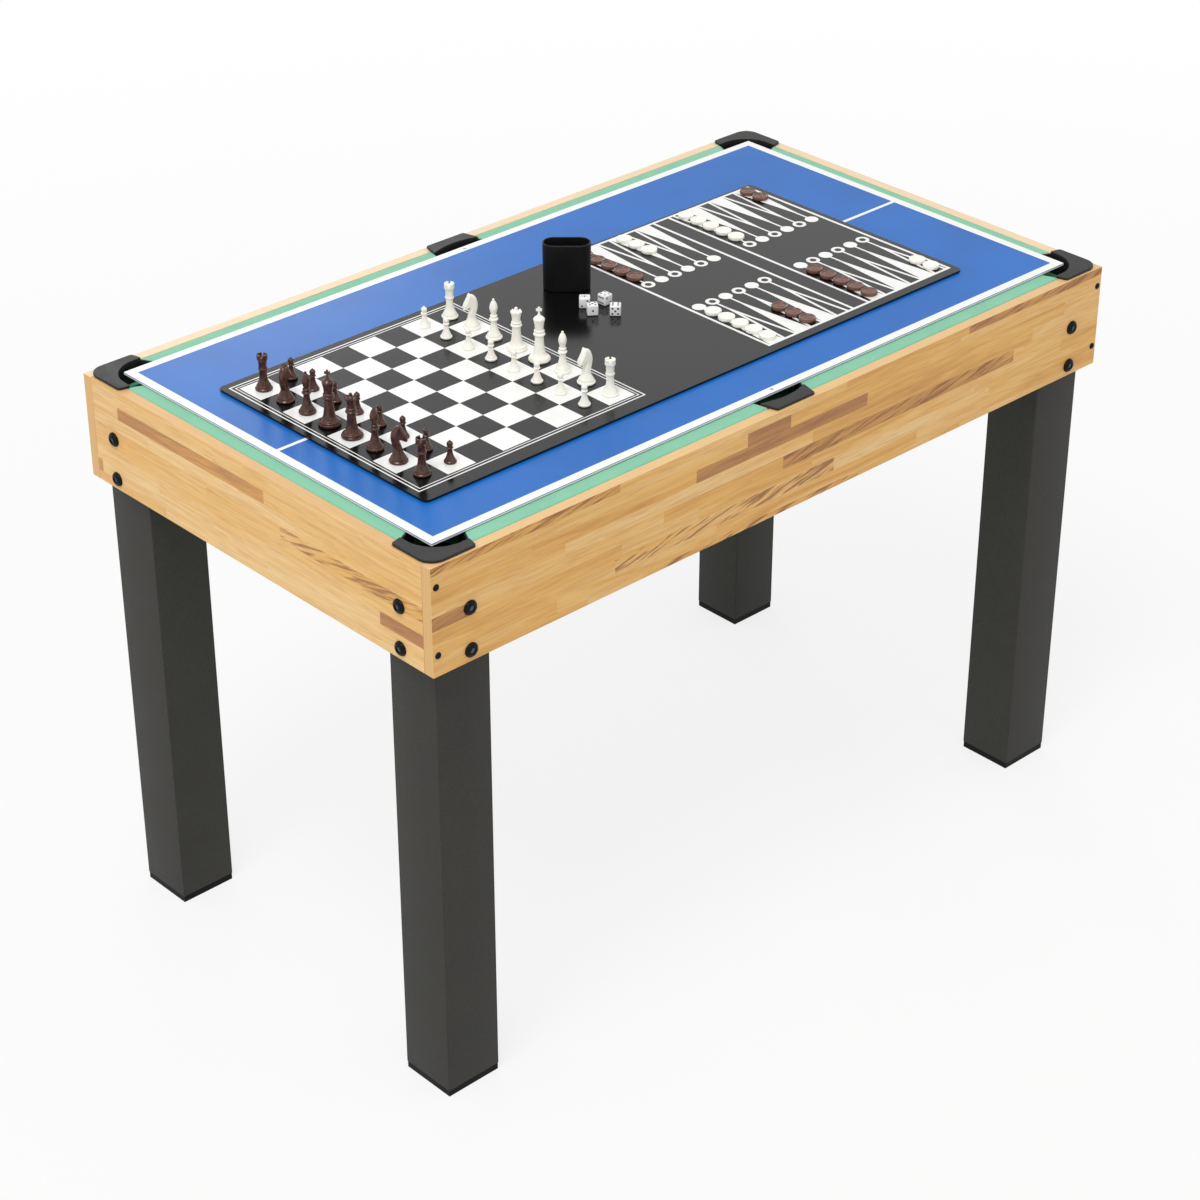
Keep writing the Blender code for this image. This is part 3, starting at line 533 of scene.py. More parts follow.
def butcher_block():
    material, tree, shader, place = new_finish("butcher_block_print", 0.42, 0.35)
    tone, flame, shift = (stored(tree, "stave_" + key) for key in ("tone", "flame", "shift"))
    everywhere = add_node(tree, "CombineXYZ", shift, shift, shift)
    grain_place = add_node(tree, "VectorMath", place, everywhere.outputs[0]).outputs[0]
    soft = noise(tree, grain_place, 1, 5, (11, 190, 190), 1.6)
    broad = noise(tree, grain_place, 1, 4, (4, 50, 50), 1.4)
    wood = tone_ramp(tree, reckon(tree, "ADD", tone, between(tree, broad, -0.16, 0.16)))
    grained = mix(tree, between(tree, soft, 0, 0.32, 0.42, 0.68), wood, paint(186, 122, 64))
    flamed = reckon(tree, "MULTIPLY", flame_strokes(tree, grain_place), flame)
    wire(tree, shader, Base_Color=mix(tree, flamed, grained, paint(146, 93, 56)))
    emboss(tree, shader, soft, GRAIN_DEPTH)
    return material


def edge_band(name, colour, along):
    """Thin film on a board's edges, with a faint grain along them."""
    material, tree, shader, place = new_finish(name, 0.45, 0.35)
    grain = noise(tree, place, 1, 4, along)
    wire(tree, shader, Base_Color=mottled(tree, grain, 0.5, paint(*colour), toned(colour, 0.86)))
    emboss(tree, shader, grain, GRAIN_DEPTH)
    return material


ALONG_BOARD, UP_BOARD = (12, 700, 700), (700, 700, 12)
print_finish = butcher_block()
end_finish = edge_band("edge_band_end", (232, 186, 122), UP_BOARD)
print("stave print nodes:", len(print_finish.node_tree.nodes))

# %% [markdown]
# Each board is made lying along its own X axis with its face towards minus Y, and turned to its
# side of the table. The long boards cover the ends of the short ones, as the photograph shows.

# %% Set down the four boards
# Name, length, turn, place, known staves, first row, how much darker the plain staves are, top band
BOARDS = (
    ("front_apron", LONG_BOARD, 0.0, (0, -HALF_WIDTH), FRONT_STAVES, LONG_FIRST_ROW, 0.20, (240, 198, 140)),
    ("right_apron", SHORT_BOARD, 90.0, (HALF_LENGTH, 0), (), SHORT_FIRST_ROW, 0.06, (250, 222, 184)),
    ("back_apron", LONG_BOARD, 180.0, (0, HALF_WIDTH), (), LONG_FIRST_ROW, 0.10, (250, 222, 184)),
    ("left_apron", SHORT_BOARD, -90.0, (-HALF_LENGTH, 0), LEFT_STAVES, SHORT_FIRST_ROW, 0.0,
     (230, 184, 124)))
FIRST_SEED = 40
BOARD_EDGE = 0.0008

for number, (name, length, turn, (x, y), known, first_row, lift, band) in enumerate(BOARDS):
    heights = stave_rows(first_row)
    staves = lay_staves(length, len(heights) - 1, known, FIRST_SEED + number, lift)
    finishes = (print_finish, edge_band(name + "_top_band", band, ALONG_BOARD), end_finish)
    mesh = board_mesh(name + "_board", length, heights, staves, finishes)
    board = set_down(name + "_board", mesh, (x, y, 0), math.radians(turn),
                     stands_for=[name])
    soften(board, BOARD_EDGE)
    print(board.name, "staves:", sum(len(row) for row in staves))

# %% [markdown]
# ## Battens and braces under the bed
# Softwood strips glued and screwed to the boards carry the bed, and two braces keep it from
# sagging. They are hidden from above but seen when the table is turned over. Plain pine needs
# growth rings along its length and sawn edges, nothing more.

# %% Pine for the hidden strips
BATTEN = 0.018
SAWN_EDGE = 0.0012


def pine():
    material, tree, shader, place = new_finish("sawn_pine", 0.75, 0.25)
    rings = noise(tree, place, 1, 4, (30, 30, 120), 1.5)
    fuzz = noise(tree, place, 700, 2)
    wood = mottled(tree, rings, 0.8, paint(226, 190, 138), paint(190, 146, 96))
    wire(tree, shader, Base_Color=mottled(tree, fuzz, 0.2, wood, paint(150, 112, 72)))
    emboss(tree, shader, fuzz, 0.0002)
    return material


pine_finish = pine()


def strip(name, length, width, centre, turn):
    """A sawn strip whose top is at the bed's underside."""
    mesh = to_mesh(name, prism(rectangle(length / 2, width / 2), -BATTEN, 0), pine_finish)
    soften(set_down(name, mesh, (*centre, BED_UNDERSIDE), turn), SAWN_EDGE)


LONG_BATTEN, SHORT_BATTEN = 0.4745, 0.4800
FROM_MIDDLE = 0.0305
BRACE_LENGTH, BRACE_WIDTH, BRACE_X = 0.621, 0.040, 0.22
BATTEN_LINE_X = HALF_LENGTH - BOARD_THICKNESS - BATTEN / 2
BATTEN_LINE_Y = HALF_WIDTH - BOARD_THICKNESS - BATTEN / 2
for side, label in ((-1, "front"), (1, "back")):
    for end, half_label in ((-1, "left"), (1, "right")):
        strip(f"{label}_batten_{half_label}", LONG_BATTEN, BATTEN,
              (end * (FROM_MIDDLE + LONG_BATTEN / 2), side * BATTEN_LINE_Y), 0)
for end, label in ((-1, "left"), (1, "right")):
    strip(f"{label}_batten", SHORT_BATTEN, BATTEN, (end * BATTEN_LINE_X, 0), math.pi / 2)
    strip(f"{label}_bed_brace", BRACE_LENGTH, BRACE_WIDTH, (end * BRACE_X, 0), math.pi / 2)
print("strips:", count("batten") + count("brace"))

# %% [markdown]
# ## Legs
# The legs are square boards wrapped in a charcoal film with a fine leathery grain. A bevelled
# tube gives their crisp corners. The grain is small, so it lives in the shader: cells of about a
# millimetre for the leather and slow clouds for the uneven dye.

# %% Charcoal film
def charcoal_film():
    material, tree, shader, place = new_finish("charcoal_film", 0.52, 0.18)
    cells = add_node(tree, "TexVoronoi", Vector=place, Scale=650)
    clouds = noise(tree, place, 14, 5)
    specks = noise(tree, place, 420, 3)
    dye = mottled(tree, clouds, 1, paint(56, 55, 52), paint(65, 64, 60))
    wire(tree, shader, Base_Color=mottled(tree, specks, 0.45, dye, paint(40, 39, 37)),
         Roughness=between(tree, clouds, 0.46, 0.60))
    emboss(tree, shader, reckon(tree, "ADD", cells.outputs["Distance"], specks), 0.00016)
    return material


LEG_HALF, LEG_WALL, LEG_CORNER = 0.0425, 0.012, 0.0016
LEG_X, LEG_Y = 0.5512, 0.2862
LEG_FOOT = 0.0103


def rounded_square(half, radius, steps):
    points = []
    for number, (side_x, side_y) in enumerate(((1, 1), (-1, 1), (-1, -1), (1, -1))):
        centre = (side_x * (half - radius), side_y * (half - radius))
        points += arc(centre, radius, number * math.pi / 2, (number + 1) * math.pi / 2, steps)
    return points


outside = rounded_square(LEG_HALF, LEG_CORNER, 3)
inside = rounded_square(LEG_HALF - LEG_WALL, LEG_CORNER, 3)
tube = skin([level(outside, LEG_FOOT), level(outside, BED_UNDERSIDE), level(inside, BED_UNDERSIDE),
             level(inside, LEG_FOOT)], closed=True)
leg_mesh = to_mesh("leg_tube", tube, charcoal_film())
for name, (side_x, side_y) in CORNERS.items():
    set_down(name + "_leg_tube", leg_mesh, (side_x * LEG_X, side_y * LEG_Y, 0),
             stands_for=[name + "_leg"])
print("leg faces:", len(leg_mesh.polygons))

# %% [markdown]
# ## Feet
# A black plastic cap closes each leg. The CAD nodes already have its plate and plug, so they stay
# and only get rounded rims and a moulded surface: fine sparks from the mould, a little gloss.

# %% Moulded plastic
def moulded_plastic(name, colour, roughness, specular=0.5, grain=1100, relief=0.00006):
    """Plastic with the fine sparked texture of its mould and slightly uneven gloss."""
    material, tree, shader, place = new_finish(name, roughness, specular)
    sparks = noise(tree, place, grain, 2)
    clouds = noise(tree, place, 30, 3)
    wire(tree, shader, Base_Color=mottled(tree, clouds, 1, paint(*colour), toned(colour, 1.18, 3)),
         Roughness=between(tree, clouds, roughness - 0.04, roughness + 0.06))
    emboss(tree, shader, sparks, relief)
    return material


def dress(node_name, finish):
    """Gives a CAD node that stays visible its finish."""
    node = nodes[node_name]
    node.data.materials.clear()
    node.data.materials.append(finish)
    return node


foot_finish = moulded_plastic("foot_plastic", (9, 9, 9), 0.45, 0.10)
for name in CORNERS:
    soften(dress(name + "_foot", foot_finish), 0.0012)
print("feet dressed:", len(CORNERS))

# %% [markdown]
# ## Bolts and screws
# Four button head bolts hold each leg through the boards, two in either face, and two small
# screws at each end of the long boards pull the corners together. Bolt heads are turned, with a
# hexagon socket pressed into the crown. The socket's ring has as many points as the dome's, only
# laid along six flats, so one skin runs from rim to socket floor.

# %% Heads and their recesses
HEAD_STEPS = 36
CROSS_NECK, CROSS_SHARPNESS = 0.34, 6


def headed(profile, recess, recess_profile):
    """A turned head with a recess, whose outline gives its edge as a share by angle."""
    shape = skin([ring(radius, height, HEAD_STEPS) for radius, height in profile]
                 + [ring(size, height, HEAD_STEPS, recess) for size, height in recess_profile])
    shape.faces.ensure_lookup_table()
    # The recess floor takes the second material, lighter steel that is partly a painted glint.
    shape.faces[-1].material_index = 1
    return shape


def hexagon(angle):
    """Distance from the axis to a side of the hexagon, as a share of its corner's."""
    sector = math.pi / 3
    offset = (angle + sector / 2) % sector - sector / 2
    return math.cos(sector / 2) / math.cos(offset)


def cross(angle):
    """A cross-shaped driver recess, wide along two lines and narrow between them."""
    return CROSS_NECK + (1 - CROSS_NECK) * abs(math.cos(2 * angle)) ** CROSS_SHARPNESS


print("hexagon's flat as a share of its corner:", round(hexagon(0), 4))

# %% [markdown]
# The heads are blackened steel; the floor of the socket is lighter bare steel, which also serves as a painted
# glint.
# A second material on that one face does it.

# %% Make a bolt and a screw
# Lighter steel for the recess floors: bare metal, and a painted glint as well.
def painted_glint_metal():
    material, tree, shader, place = new_finish("bare_steel", 0.34)
    scratches = noise(tree, place, 900, 3, (1, 6, 1))
    glint_colour = mottled(tree, scratches, 1, paint(96, 106, 116), paint(52, 60, 68))
    wire(tree, shader, Base_Color=glint_colour, Metallic=0.6)
    return material


bolt_shape = headed([(0.0040, -0.0160), (0.0040, 0.0003), (0.0098, 0.0003), (0.0098, 0.0012),
                     (0.0094, 0.0021), (0.0085, 0.0032), (0.0072, 0.0041), (0.0056, 0.0048)], hexagon,
                    [(0.0046, 0.0050), (0.0044, 0.0047), (0.0044, 0.0034)])
screw_shape = headed([(0.0016, -0.0100), (0.0016, 0.0001), (0.0045, 0.0001), (0.0045, 0.0004),
                      (0.0041, 0.0011), (0.0033, 0.0015)], cross, [(0.0026, 0.0016), (0.0021, 0.0006)])
steels = (moulded_plastic("blackened_steel", (9, 10, 11), 0.34, 0.14, 2000, 0.00002), painted_glint_metal())
bolt_mesh = to_mesh("button_bolt", bolt_shape, *steels)
screw_mesh = to_mesh("board_screw", screw_shape, *steels)
print("bolt faces:", len(bolt_mesh.polygons), "screw faces:", len(screw_mesh.polygons))

# %% [markdown]
# Every bolt and screw is made standing upright. One turn lays it down, and another aims it out of
# the board that it holds: along Y through the long boards, along X through the short ones.

# %% Drive them in
BOLT_DROPS, SCREW_DROPS = (0.074, 0.132), (0.027, 0.119)
BOLT_X, BOLT_Y, SCREW_X = 0.5515, 0.2865, 0.602


def drive_in(name, mesh, place, heading):
    """Sets a bolt or screw down with its own Z axis pointing out of the table, at that heading."""
    axes = Matrix.Translation(place) @ Matrix.Rotation(heading, 4, "Z") @ Matrix.Rotation(math.pi / 2, 4, "Y")
    set_down(name, mesh, axes=axes)


for name, (side_x, side_y) in CORNERS.items():
    sideways, endways = side_y * math.pi / 2, 0 if side_x > 0 else math.pi
    for row, drop in enumerate(BOLT_DROPS, 1):
        height = TABLE_HEIGHT - drop
        drive_in(f"{name}_side_bolt_{row}", bolt_mesh, (side_x * BOLT_X, side_y * HALF_WIDTH, height),
                 sideways)
        drive_in(f"{name}_end_bolt_{row}", bolt_mesh, (side_x * HALF_LENGTH, side_y * BOLT_Y, height),
                 endways)
    for row, drop in enumerate(SCREW_DROPS, 1):
        spot = (side_x * SCREW_X, side_y * HALF_WIDTH, TABLE_HEIGHT - drop)
        drive_in(f"{name}_board_screw_{row}", screw_mesh, spot, sideways)
print("bolts:", count("bolt"), "screws:", count("screw"))

# %% [markdown]
# ## Cloth
# The bed is a thin board with green cloth glued on, and the rail cushions are rubber strips
# wrapped in the same cloth. From above it is a smooth mint green; close up a tight plain weave
# with a short nap. Two crossed waves make the weave and noise lifts single fibres.

# %% Cloth finish
def table_cloth(name, colour, shade):
    material, tree, shader, place = new_finish(name, 0.9, 0.15)
    threads = []
    for axis in ("X", "Y"):
        wave = add_node(tree, "TexWave", Vector=place, Scale=560, Distortion=1.2, Detail=1)
        wave.bands_direction = axis
        threads.append(wave.outputs["Fac"])
    weave = reckon(tree, "MAXIMUM", *threads)
    nap = noise(tree, place, 1500, 3)
    clouds = noise(tree, place, 22, 4)
    dyed = mottled(tree, clouds, 0.5, paint(*colour), paint(*shade))
    wire(tree, shader, Base_Color=mottled(tree, nap, 0.25, dyed, paint(*shade)), Sheen_Weight=0.25,
         Sheen_Roughness=0.5)
    emboss(tree, shader, reckon(tree, "ADD", weave, nap), 0.00012)
    return material


# The bed's copy of the cloth is darker than the cushions': painted shade for the bed under the tennis top.
bed_cloth = table_cloth("bed_cloth", (96, 186, 140), (78, 166, 120))
cushion_cloth = table_cloth("cushion_cloth", (147, 215, 182), (128, 199, 163))
dress("pool_bed", bed_cloth)
print("cloth finishes:", bed_cloth.name, cushion_cloth.name)

# %% [markdown]
# ## Rail cushions
# A cushion has a tall back against the board, a gently crowned top and a rounded nose that
# overhangs its foot, so that a ball meets it above its middle. Its ends are cut on a slant to
# form the jaws of the pockets. One section is carried from jaw to jaw; because the cut is
# slanted, each point of the section has its own start and end.

# %% Shape the cushions
NOSE = arc((0.0590, BED_TOP + 0.0215), 0.003, -math.pi / 4, math.pi / 3, 8)
# Distance in from the board's outer face and height, once round the cushion
CUSHION = [(0.0163, BED_TOP + GAP), (0.0470, BED_TOP + GAP), (0.0545, 0.7870), *NOSE, (0.0580, 0.7990),
           (0.0560, 0.8008), (0.0530, 0.8015), (0.0460, 0.8015), (0.0350, 0.80145), (0.0240, 0.8012),
           (0.0185, 0.8007), (0.0168, 0.8000), (0.0163, 0.7985)]
CUSHION_STEPS = 24


def corner_jaw(depth):
    """How far a corner pocket's jaw is from the corner, at a depth in from the board's face."""
    return 0.0758 + 0.48 * (depth - 0.016)


def side_jaw(depth):
    """How far a side pocket's jaw is from the pocket's middle."""
    return 0.0343 + 0.27 * (depth - 0.003)


def long_end(depth):
    return HALF_LENGTH - corner_jaw(depth)


def short_end(depth):
    return HALF_WIDTH - corner_jaw(depth)


def opposite(jaw):
    """The same jaw at the other end of the rail."""
    return lambda depth: -jaw(depth)


def cushion(name, start, end, distance, turn):
    """A cushion along its own X axis, its board's outer face at that distance from the middle."""
    rings = []
    for step in range(CUSHION_STEPS + 1):
        share = step / CUSHION_STEPS
        rings.append([Vector((start(depth) * (1 - share) + end(depth) * share, depth - distance, height))
                      for depth, height in CUSHION])
    cover = to_mesh(name + "_cover", skin(rings), cushion_cloth, crease=50)
    piece = set_down(name + "_cover", cover, turn=turn, stands_for=[name])


print("points on a cushion's section:", len(CUSHION))

# %% [markdown]
# The long rails carry two cushions each, parted by the side pocket, and the short rails one. The
# jaws at their ends differ, so each is made for its own place and then turned to its rail.

# %% Set down the cushions
for label, turn, left, right in (("front", 0, "left", "right"), ("back", math.pi, "right", "left")):
    cushion(f"{label}_{left}_cushion", opposite(long_end), opposite(side_jaw), HALF_WIDTH, turn)
    cushion(f"{label}_{right}_cushion", side_jaw, long_end, HALF_WIDTH, turn)
for label, turn in (("right", math.pi / 2), ("left", -math.pi / 2)):
    cushion(f"{label}_cushion", opposite(short_end), short_end, HALF_LENGTH, turn)
print("cushions:", count("cushion"))

# %% [markdown]
# ## Pockets
# Each pocket is one black moulding: a flat plate on the boards' top edges, a wall that lines the
# mouth and covers the cushions' jaws, and a cup hung under the bed that catches the ball. It is
# made in distances from the outer faces of the table, and mirrored into its corner or side.

# %% Outlines of a corner pocket
MOUTH, MOUTH_RADIUS, MOUTH_STEPS = (0.064, 0.064), 0.044, 28
MOUTH_EDGE = MOUTH[0] - MOUTH_RADIUS
PLATE_EDGE, THROAT_END = 0.003, 0.050
WALL = 0.0026
QUARTER = math.pi / 2


def swapped(points):
    return [(second, first) for first, second in reversed(points)]


def rounded_tip(before, corner, after, reach, steps=6):
    """A curve that leaves the outline shortly before a corner and joins it shortly after."""
    before, corner, after = Vector(before), Vector(corner), Vector(after)
    start = corner + (before - corner).normalized() * reach
    stop = corner + (after - corner).normalized() * reach
    shares = [step / steps for step in range(steps + 1)]
    return [tuple(start.lerp(corner, share).lerp(corner.lerp(stop, share), share)) for share in shares]


def corner_plate():
    tip, end = (0.0735, PLATE_EDGE), (0.0775, MOUTH_EDGE)
    rounded = arc((0.025, 0.025), 0.022, math.pi, 3 * QUARTER, 12)
    mouth = arc(MOUTH, MOUTH_RADIUS, 3 * QUARTER, math.pi, MOUTH_STEPS)
    arm = rounded_tip((0.025, PLATE_EDGE), tip, end, 0.0045)
    arm += rounded_tip(tip, end, (MOUTH[0], MOUTH_EDGE), 0.003, 4)
    return [*swapped(arm), *rounded, *arm, *mouth]


def corner_throat(out):
    start, inset = MOUTH_EDGE - out, GAP + WALL - out
    cheek = [(depth, corner_jaw(depth) - inset) for depth in (THROAT_END, start)]
    back = arc(MOUTH, MOUTH_RADIUS + out, math.pi, 3 * QUARTER, MOUTH_STEPS)
    return cheek + back + swapped(cheek)


print("points on a corner plate:", len(corner_plate()))

# %% [markdown]
# A side pocket's plate is a flat trapezoid with a shallow hollow towards the bed. The hollow is a
# piece of a large circle, whose radius follows from how wide and how deep the hollow is.

# %% Outlines of a side pocket
SIDE_INNER, SIDE_DEPTH, SIDE_HALF = 0.0285, 0.0215, 0.034


def side_mouth(out):
    half, rise = side_jaw(SIDE_INNER) - GAP - WALL, SIDE_INNER - SIDE_DEPTH
    radius = (half * half + rise * rise) / (2 * rise)
    spread = math.asin(half / radius)
    return arc((0, SIDE_DEPTH + radius), radius + out, -QUARTER - spread, -QUARTER + spread, MOUTH_STEPS)


def side_plate():
    flank = side_jaw(SIDE_INNER) - GAP
    right = rounded_tip((-SIDE_HALF, PLATE_EDGE), (SIDE_HALF, PLATE_EDGE), (flank, SIDE_INNER), 0.003)
    left = [(-x, y) for x, y in reversed(right)]
    return [*left, *right, (flank, SIDE_INNER), *reversed(side_mouth(0)), (-flank, SIDE_INNER)]


def side_throat(out):
    end = side_jaw(THROAT_END) - (GAP + WALL - out)
    return [(-end, THROAT_END), *side_mouth(out), (end, THROAT_END)]


print("points on a side plate:", len(side_plate()))

# %% [markdown]
# Plate and wall are prisms, and the cup is turned. They overlap by less than a millimetre inside
# the moulding and stay one mesh without a boolean, which would only leave slivers in there.

# %% Make the pockets
PLATE_TOP, THROAT_TOP, THROAT_FOOT = 0.0039, 0.0011, -0.0277
CUP_DEPTH, CUP_NECK, CUP_FILLET, PAIL_WALL = 0.060, 0.009, 0.006, 0.0024
PAIL_STEPS = 40


def pail(shape, centre, radius):
    """The hung cup: a tapered wall with a rounded bottom, open at the top."""
    rim, neck, foot = radius - 0.0005, radius - 0.0030, radius - 0.0050
    bend = (foot - CUP_FILLET, CUP_FILLET - CUP_DEPTH)
    profile = [(0, -CUP_DEPTH), (foot - 0.008, -CUP_DEPTH), *arc(bend, CUP_FILLET, -QUARTER, 0, 6),
               (neck, -CUP_NECK), (rim, 0), (rim - PAIL_WALL, 0), (neck - PAIL_WALL, -CUP_NECK),
               *arc(bend, CUP_FILLET - PAIL_WALL, 0, -QUARTER, 6), (0, PAIL_WALL - CUP_DEPTH)]
    hung = turned(profile, PAIL_STEPS)
    bmesh.ops.translate(hung, verts=hung.verts[:], vec=(*centre, BED_TOP - TABLE_HEIGHT))
    mesh = freeze("pail", hung)
    shape.from_mesh(mesh)
    bpy.data.meshes.remove(mesh)


def pocket(name, outline, throat, centre, radius, corner, mirror):
    """A pocket at a corner of the table's outline; mirror says which way its distances run."""
    shape = prism(outline, GAP, PLATE_TOP)
    prism(throat(WALL) + throat(0)[::-1], THROAT_FOOT, THROAT_TOP, shape)
    pail(shape, centre, radius)
    placing = Matrix.Translation((*corner, TABLE_HEIGHT)) @ Matrix.Diagonal((*mirror, 1, 1))
    bmesh.ops.transform(shape, matrix=placing, verts=shape.verts[:])
    mesh = to_mesh(name + "_moulding", shape, pocket_plastic)
    soften(set_down(name + "_moulding", mesh, stands_for=[name]), 0.0011, 3)


pocket_plastic = moulded_plastic("pocket_plastic", (25, 25, 25), 0.50, 0.36, 1500, 0.00014)
for name, (side_x, side_y) in CORNERS.items():
    pocket(name + "_pocket", corner_plate(), corner_throat, (0.0585, 0.0585), 0.0325,
           (side_x * HALF_LENGTH, side_y * HALF_WIDTH), (-side_x, -side_y))
for name, side in (("front", -1), ("back", 1)):
    pocket(name + "_side_pocket", side_plate(), side_throat, (0, 0.0485), 0.0265,
           (0, side * HALF_WIDTH), (1, -side))
print("pockets:", count("pocket"))

# %% [markdown]
# ## Table tennis top
# A lacquered board, blue above, bare hardboard below and pale at its cut edges, with white lines
# printed on it. The CAD board stays. Its finish asks which way a face looks, so one material
# serves all sides. The lacquer has a faint orange peel, which breaks up its reflections.

# %% Blue lacquer
def lacquered_board(name, colour, side, under, roughness, specular, peel=0.00003):
    material, tree, shader, place = new_finish(name, roughness, specular)
    direction = add_node(tree, "TexCoord").outputs["Normal"]
    upwards = add_node(tree, "SeparateXYZ", Vector=direction).outputs["Z"]
    down, up = reckon(tree, "LESS_THAN", upwards, -0.5), reckon(tree, "GREATER_THAN", upwards, 0.5)
    clouds = noise(tree, place, 9, 4)
    fibres = noise(tree, place, 500, 4)
    face = mottled(tree, clouds, 1, paint(*colour), toned(colour, 0.93))
    below = mottled(tree, fibres, 0.6, paint(*under), toned(under, 0.7))
    above = mix(tree, up, paint(*side), face)
    wire(tree, shader, Base_Color=mix(tree, down, above, below))
    emboss(tree, shader, noise(tree, place, 260, 2), peel)
    return material


blue_lacquer = lacquered_board("blue_lacquer", (5, 107, 197), (248, 245, 238), (150, 112, 74), 0.33, 0.26)
dress("ping_pong_top", blue_lacquer)
tennis_low, tennis_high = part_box("ping_pong_top")
print("tennis top:", [round(side, 4) for side in tennis_high - tennis_low])

# %% [markdown]
# ## Printed lines
# The lines could be masks in the shader, but a baked texture blurs them. So the print is a real
# layer of ink a tenth of a millimetre thick. Helpers draw bars, frames and rings as flat faces,
# and a solidify modifier gives the ink its thickness.

# %% Helpers for print
INK, INK_LIFT = 0.00012, 0.00002


def flat(shape, *points):
    shape.faces.new([shape.verts.new((x, y, 0)) for x, y in points])


def bar(shape, x0, y0, x1, y1):
    flat(shape, (x0, y0), (x1, y0), (x1, y1), (x0, y1))


def frame_line(shape, x0, y0, x1, y1, width):
    """A rectangular line whose outer edge is the given rectangle."""
    bar(shape, x0, y0, x1, y0 + width)
    bar(shape, x0, y1 - width, x1, y1)
    bar(shape, x0, y0 + width, x0 + width, y1 - width)
    bar(shape, x1 - width, y0 + width, x1, y1 - width)


def ring_between(shape, outer, inner):
    """Flat faces between two rings of equally many points."""
    rows = [[shape.verts.new((x, y, 0)) for x, y in points] for points in (outer, inner)]
    for index in range(len(outer)):
        after = (index + 1) % len(outer)
        shape.faces.new((rows[0][index], rows[0][after], rows[1][after], rows[1][index]))


def circle(x, y, radius, steps=32):
    return arc((x, y), radius, 0, 2 * math.pi * (1 - 1 / steps), steps - 1)


def printing_ink():
    material, tree, shader, place = new_finish("white_ink", 0.38)
    dust = noise(tree, place, 60, 4)
    wire(tree, shader, Base_Color=mottled(tree, dust, 1, paint(250, 250, 248), paint(243, 243, 240)))
    emboss(tree, shader, noise(tree, place, 400, 2), 0.00002)
    return material


white_ink = printing_ink()


def print_on(name, shape, height, body):
    """Lays a layer of white ink on a board whose top is at that height."""
    mesh = to_mesh(name, shape, white_ink)
    mesh.shade_flat()
    piece = set_down(name, mesh, (0, 0, height + INK + INK_LIFT), body=body)
    ink = piece.modifiers.new("ink", "SOLIDIFY")
    ink.thickness = INK
    ink.offset = -1


print("ink thickness:", INK)

# %% [markdown]
# The top has a broad white border and a thin line along its middle. Halfway along either long
# border is a hole for a net post, so the ink leaves a small square patch there, which is filled
# again by faces that run from the square to a circle.

# %% Lines of the tennis top
BORDER, CENTRE_LINE = 0.0128, 0.0056
EDGE_MARGIN = 0.0002
HOLE_INSET, HOLE_RADIUS = 0.0073, 0.0026
PATCH, PATCH_STEPS = 0.006, 8
x0, y0, x1, y1 = (tennis_low.x + EDGE_MARGIN, tennis_low.y + EDGE_MARGIN,
                  tennis_high.x - EDGE_MARGIN, tennis_high.y - EDGE_MARGIN)
middle, centre_y = (tennis_low.x + tennis_high.x) / 2, (tennis_low.y + tennis_high.y) / 2


def ink_round_hole(shape, near, far, hole):
    """Ink from a square patch inwards to the round edge of the hole at its middle."""
    ends = [(PATCH, far - hole), (-PATCH, far - hole), (-PATCH, near - hole), (PATCH, near - hole)]
    outer, inner = [], []
    for start, stop in zip(ends, ends[1:] + ends[:1]):
        for step in range(PATCH_STEPS):
            point = Vector(start).lerp(Vector(stop), step / PATCH_STEPS)
            edge = point.normalized() * HOLE_RADIUS
            outer.append((middle + point.x, hole + point.y))
            inner.append((middle + edge.x, hole + edge.y))
    ring_between(shape, outer, inner)


lines = bmesh.new()
bar(lines, x0, y0 + BORDER, x0 + BORDER, y1 - BORDER)
bar(lines, x1 - BORDER, y0 + BORDER, x1, y1 - BORDER)
for near, far, hole in ((y0, y0 + BORDER, tennis_low.y + HOLE_INSET),
                        (y1 - BORDER, y1, tennis_high.y - HOLE_INSET)):
    bar(lines, x0, near, middle - PATCH, far)
    bar(lines, middle + PATCH, near, x1, far)
    ink_round_hole(lines, near, far, hole)
bar(lines, x0 + BORDER, centre_y - CENTRE_LINE / 2, x1 - BORDER, centre_y + CENTRE_LINE / 2)
print_on("tennis_lines", lines, tennis_high.z, "ping_pong_top")
print("border:", BORDER, "net holes at x =", round(middle, 4))

# %% [markdown]
# ## Games board
# A thin black board with a high gloss: it mirrors the cup and the men, and at the camera's low
# angle it picks up the white studio and looks grey. So its colour is nearly black, and its gloss
# does the rest. The chess field and the backgammon field are printed on it in white.

# %% Gloss black board
gloss_black = lacquered_board("gloss_black", (9, 9, 9), (16, 16, 16), (60, 58, 56), 0.16, 0.37, 0.00001)
dress("games_board", gloss_black)
board_low, board_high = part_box("games_board")
BOARD_TOP = board_high.z
FIELD_MIDDLE = -0.020
SQUARE = 0.0444
CHESS_LEFT, CHESS_HALF = -0.500, 4 * SQUARE
# Each line round the field: how far out its outer edge is, and its width
CHESS_LINES = ((0.0098, 0.0020), (0.0041, 0.0014))

field = bmesh.new()
for file in range(8):
    for rank in range(8):
        if (file + rank) % 2:
            x, y = CHESS_LEFT + file * SQUARE, FIELD_MIDDLE - CHESS_HALF + rank * SQUARE
            bar(field, x, y, x + SQUARE, y + SQUARE)
for out, width in CHESS_LINES:
    frame_line(field, CHESS_LEFT - out, FIELD_MIDDLE - CHESS_HALF - out, CHESS_LEFT + 2 * CHESS_HALF + out,
               FIELD_MIDDLE + CHESS_HALF + out, width)
print_on("chess_print", field, BOARD_TOP, "games_board")
print("chess field side:", round(8 * SQUARE, 4), "board top at", round(BOARD_TOP, 4))

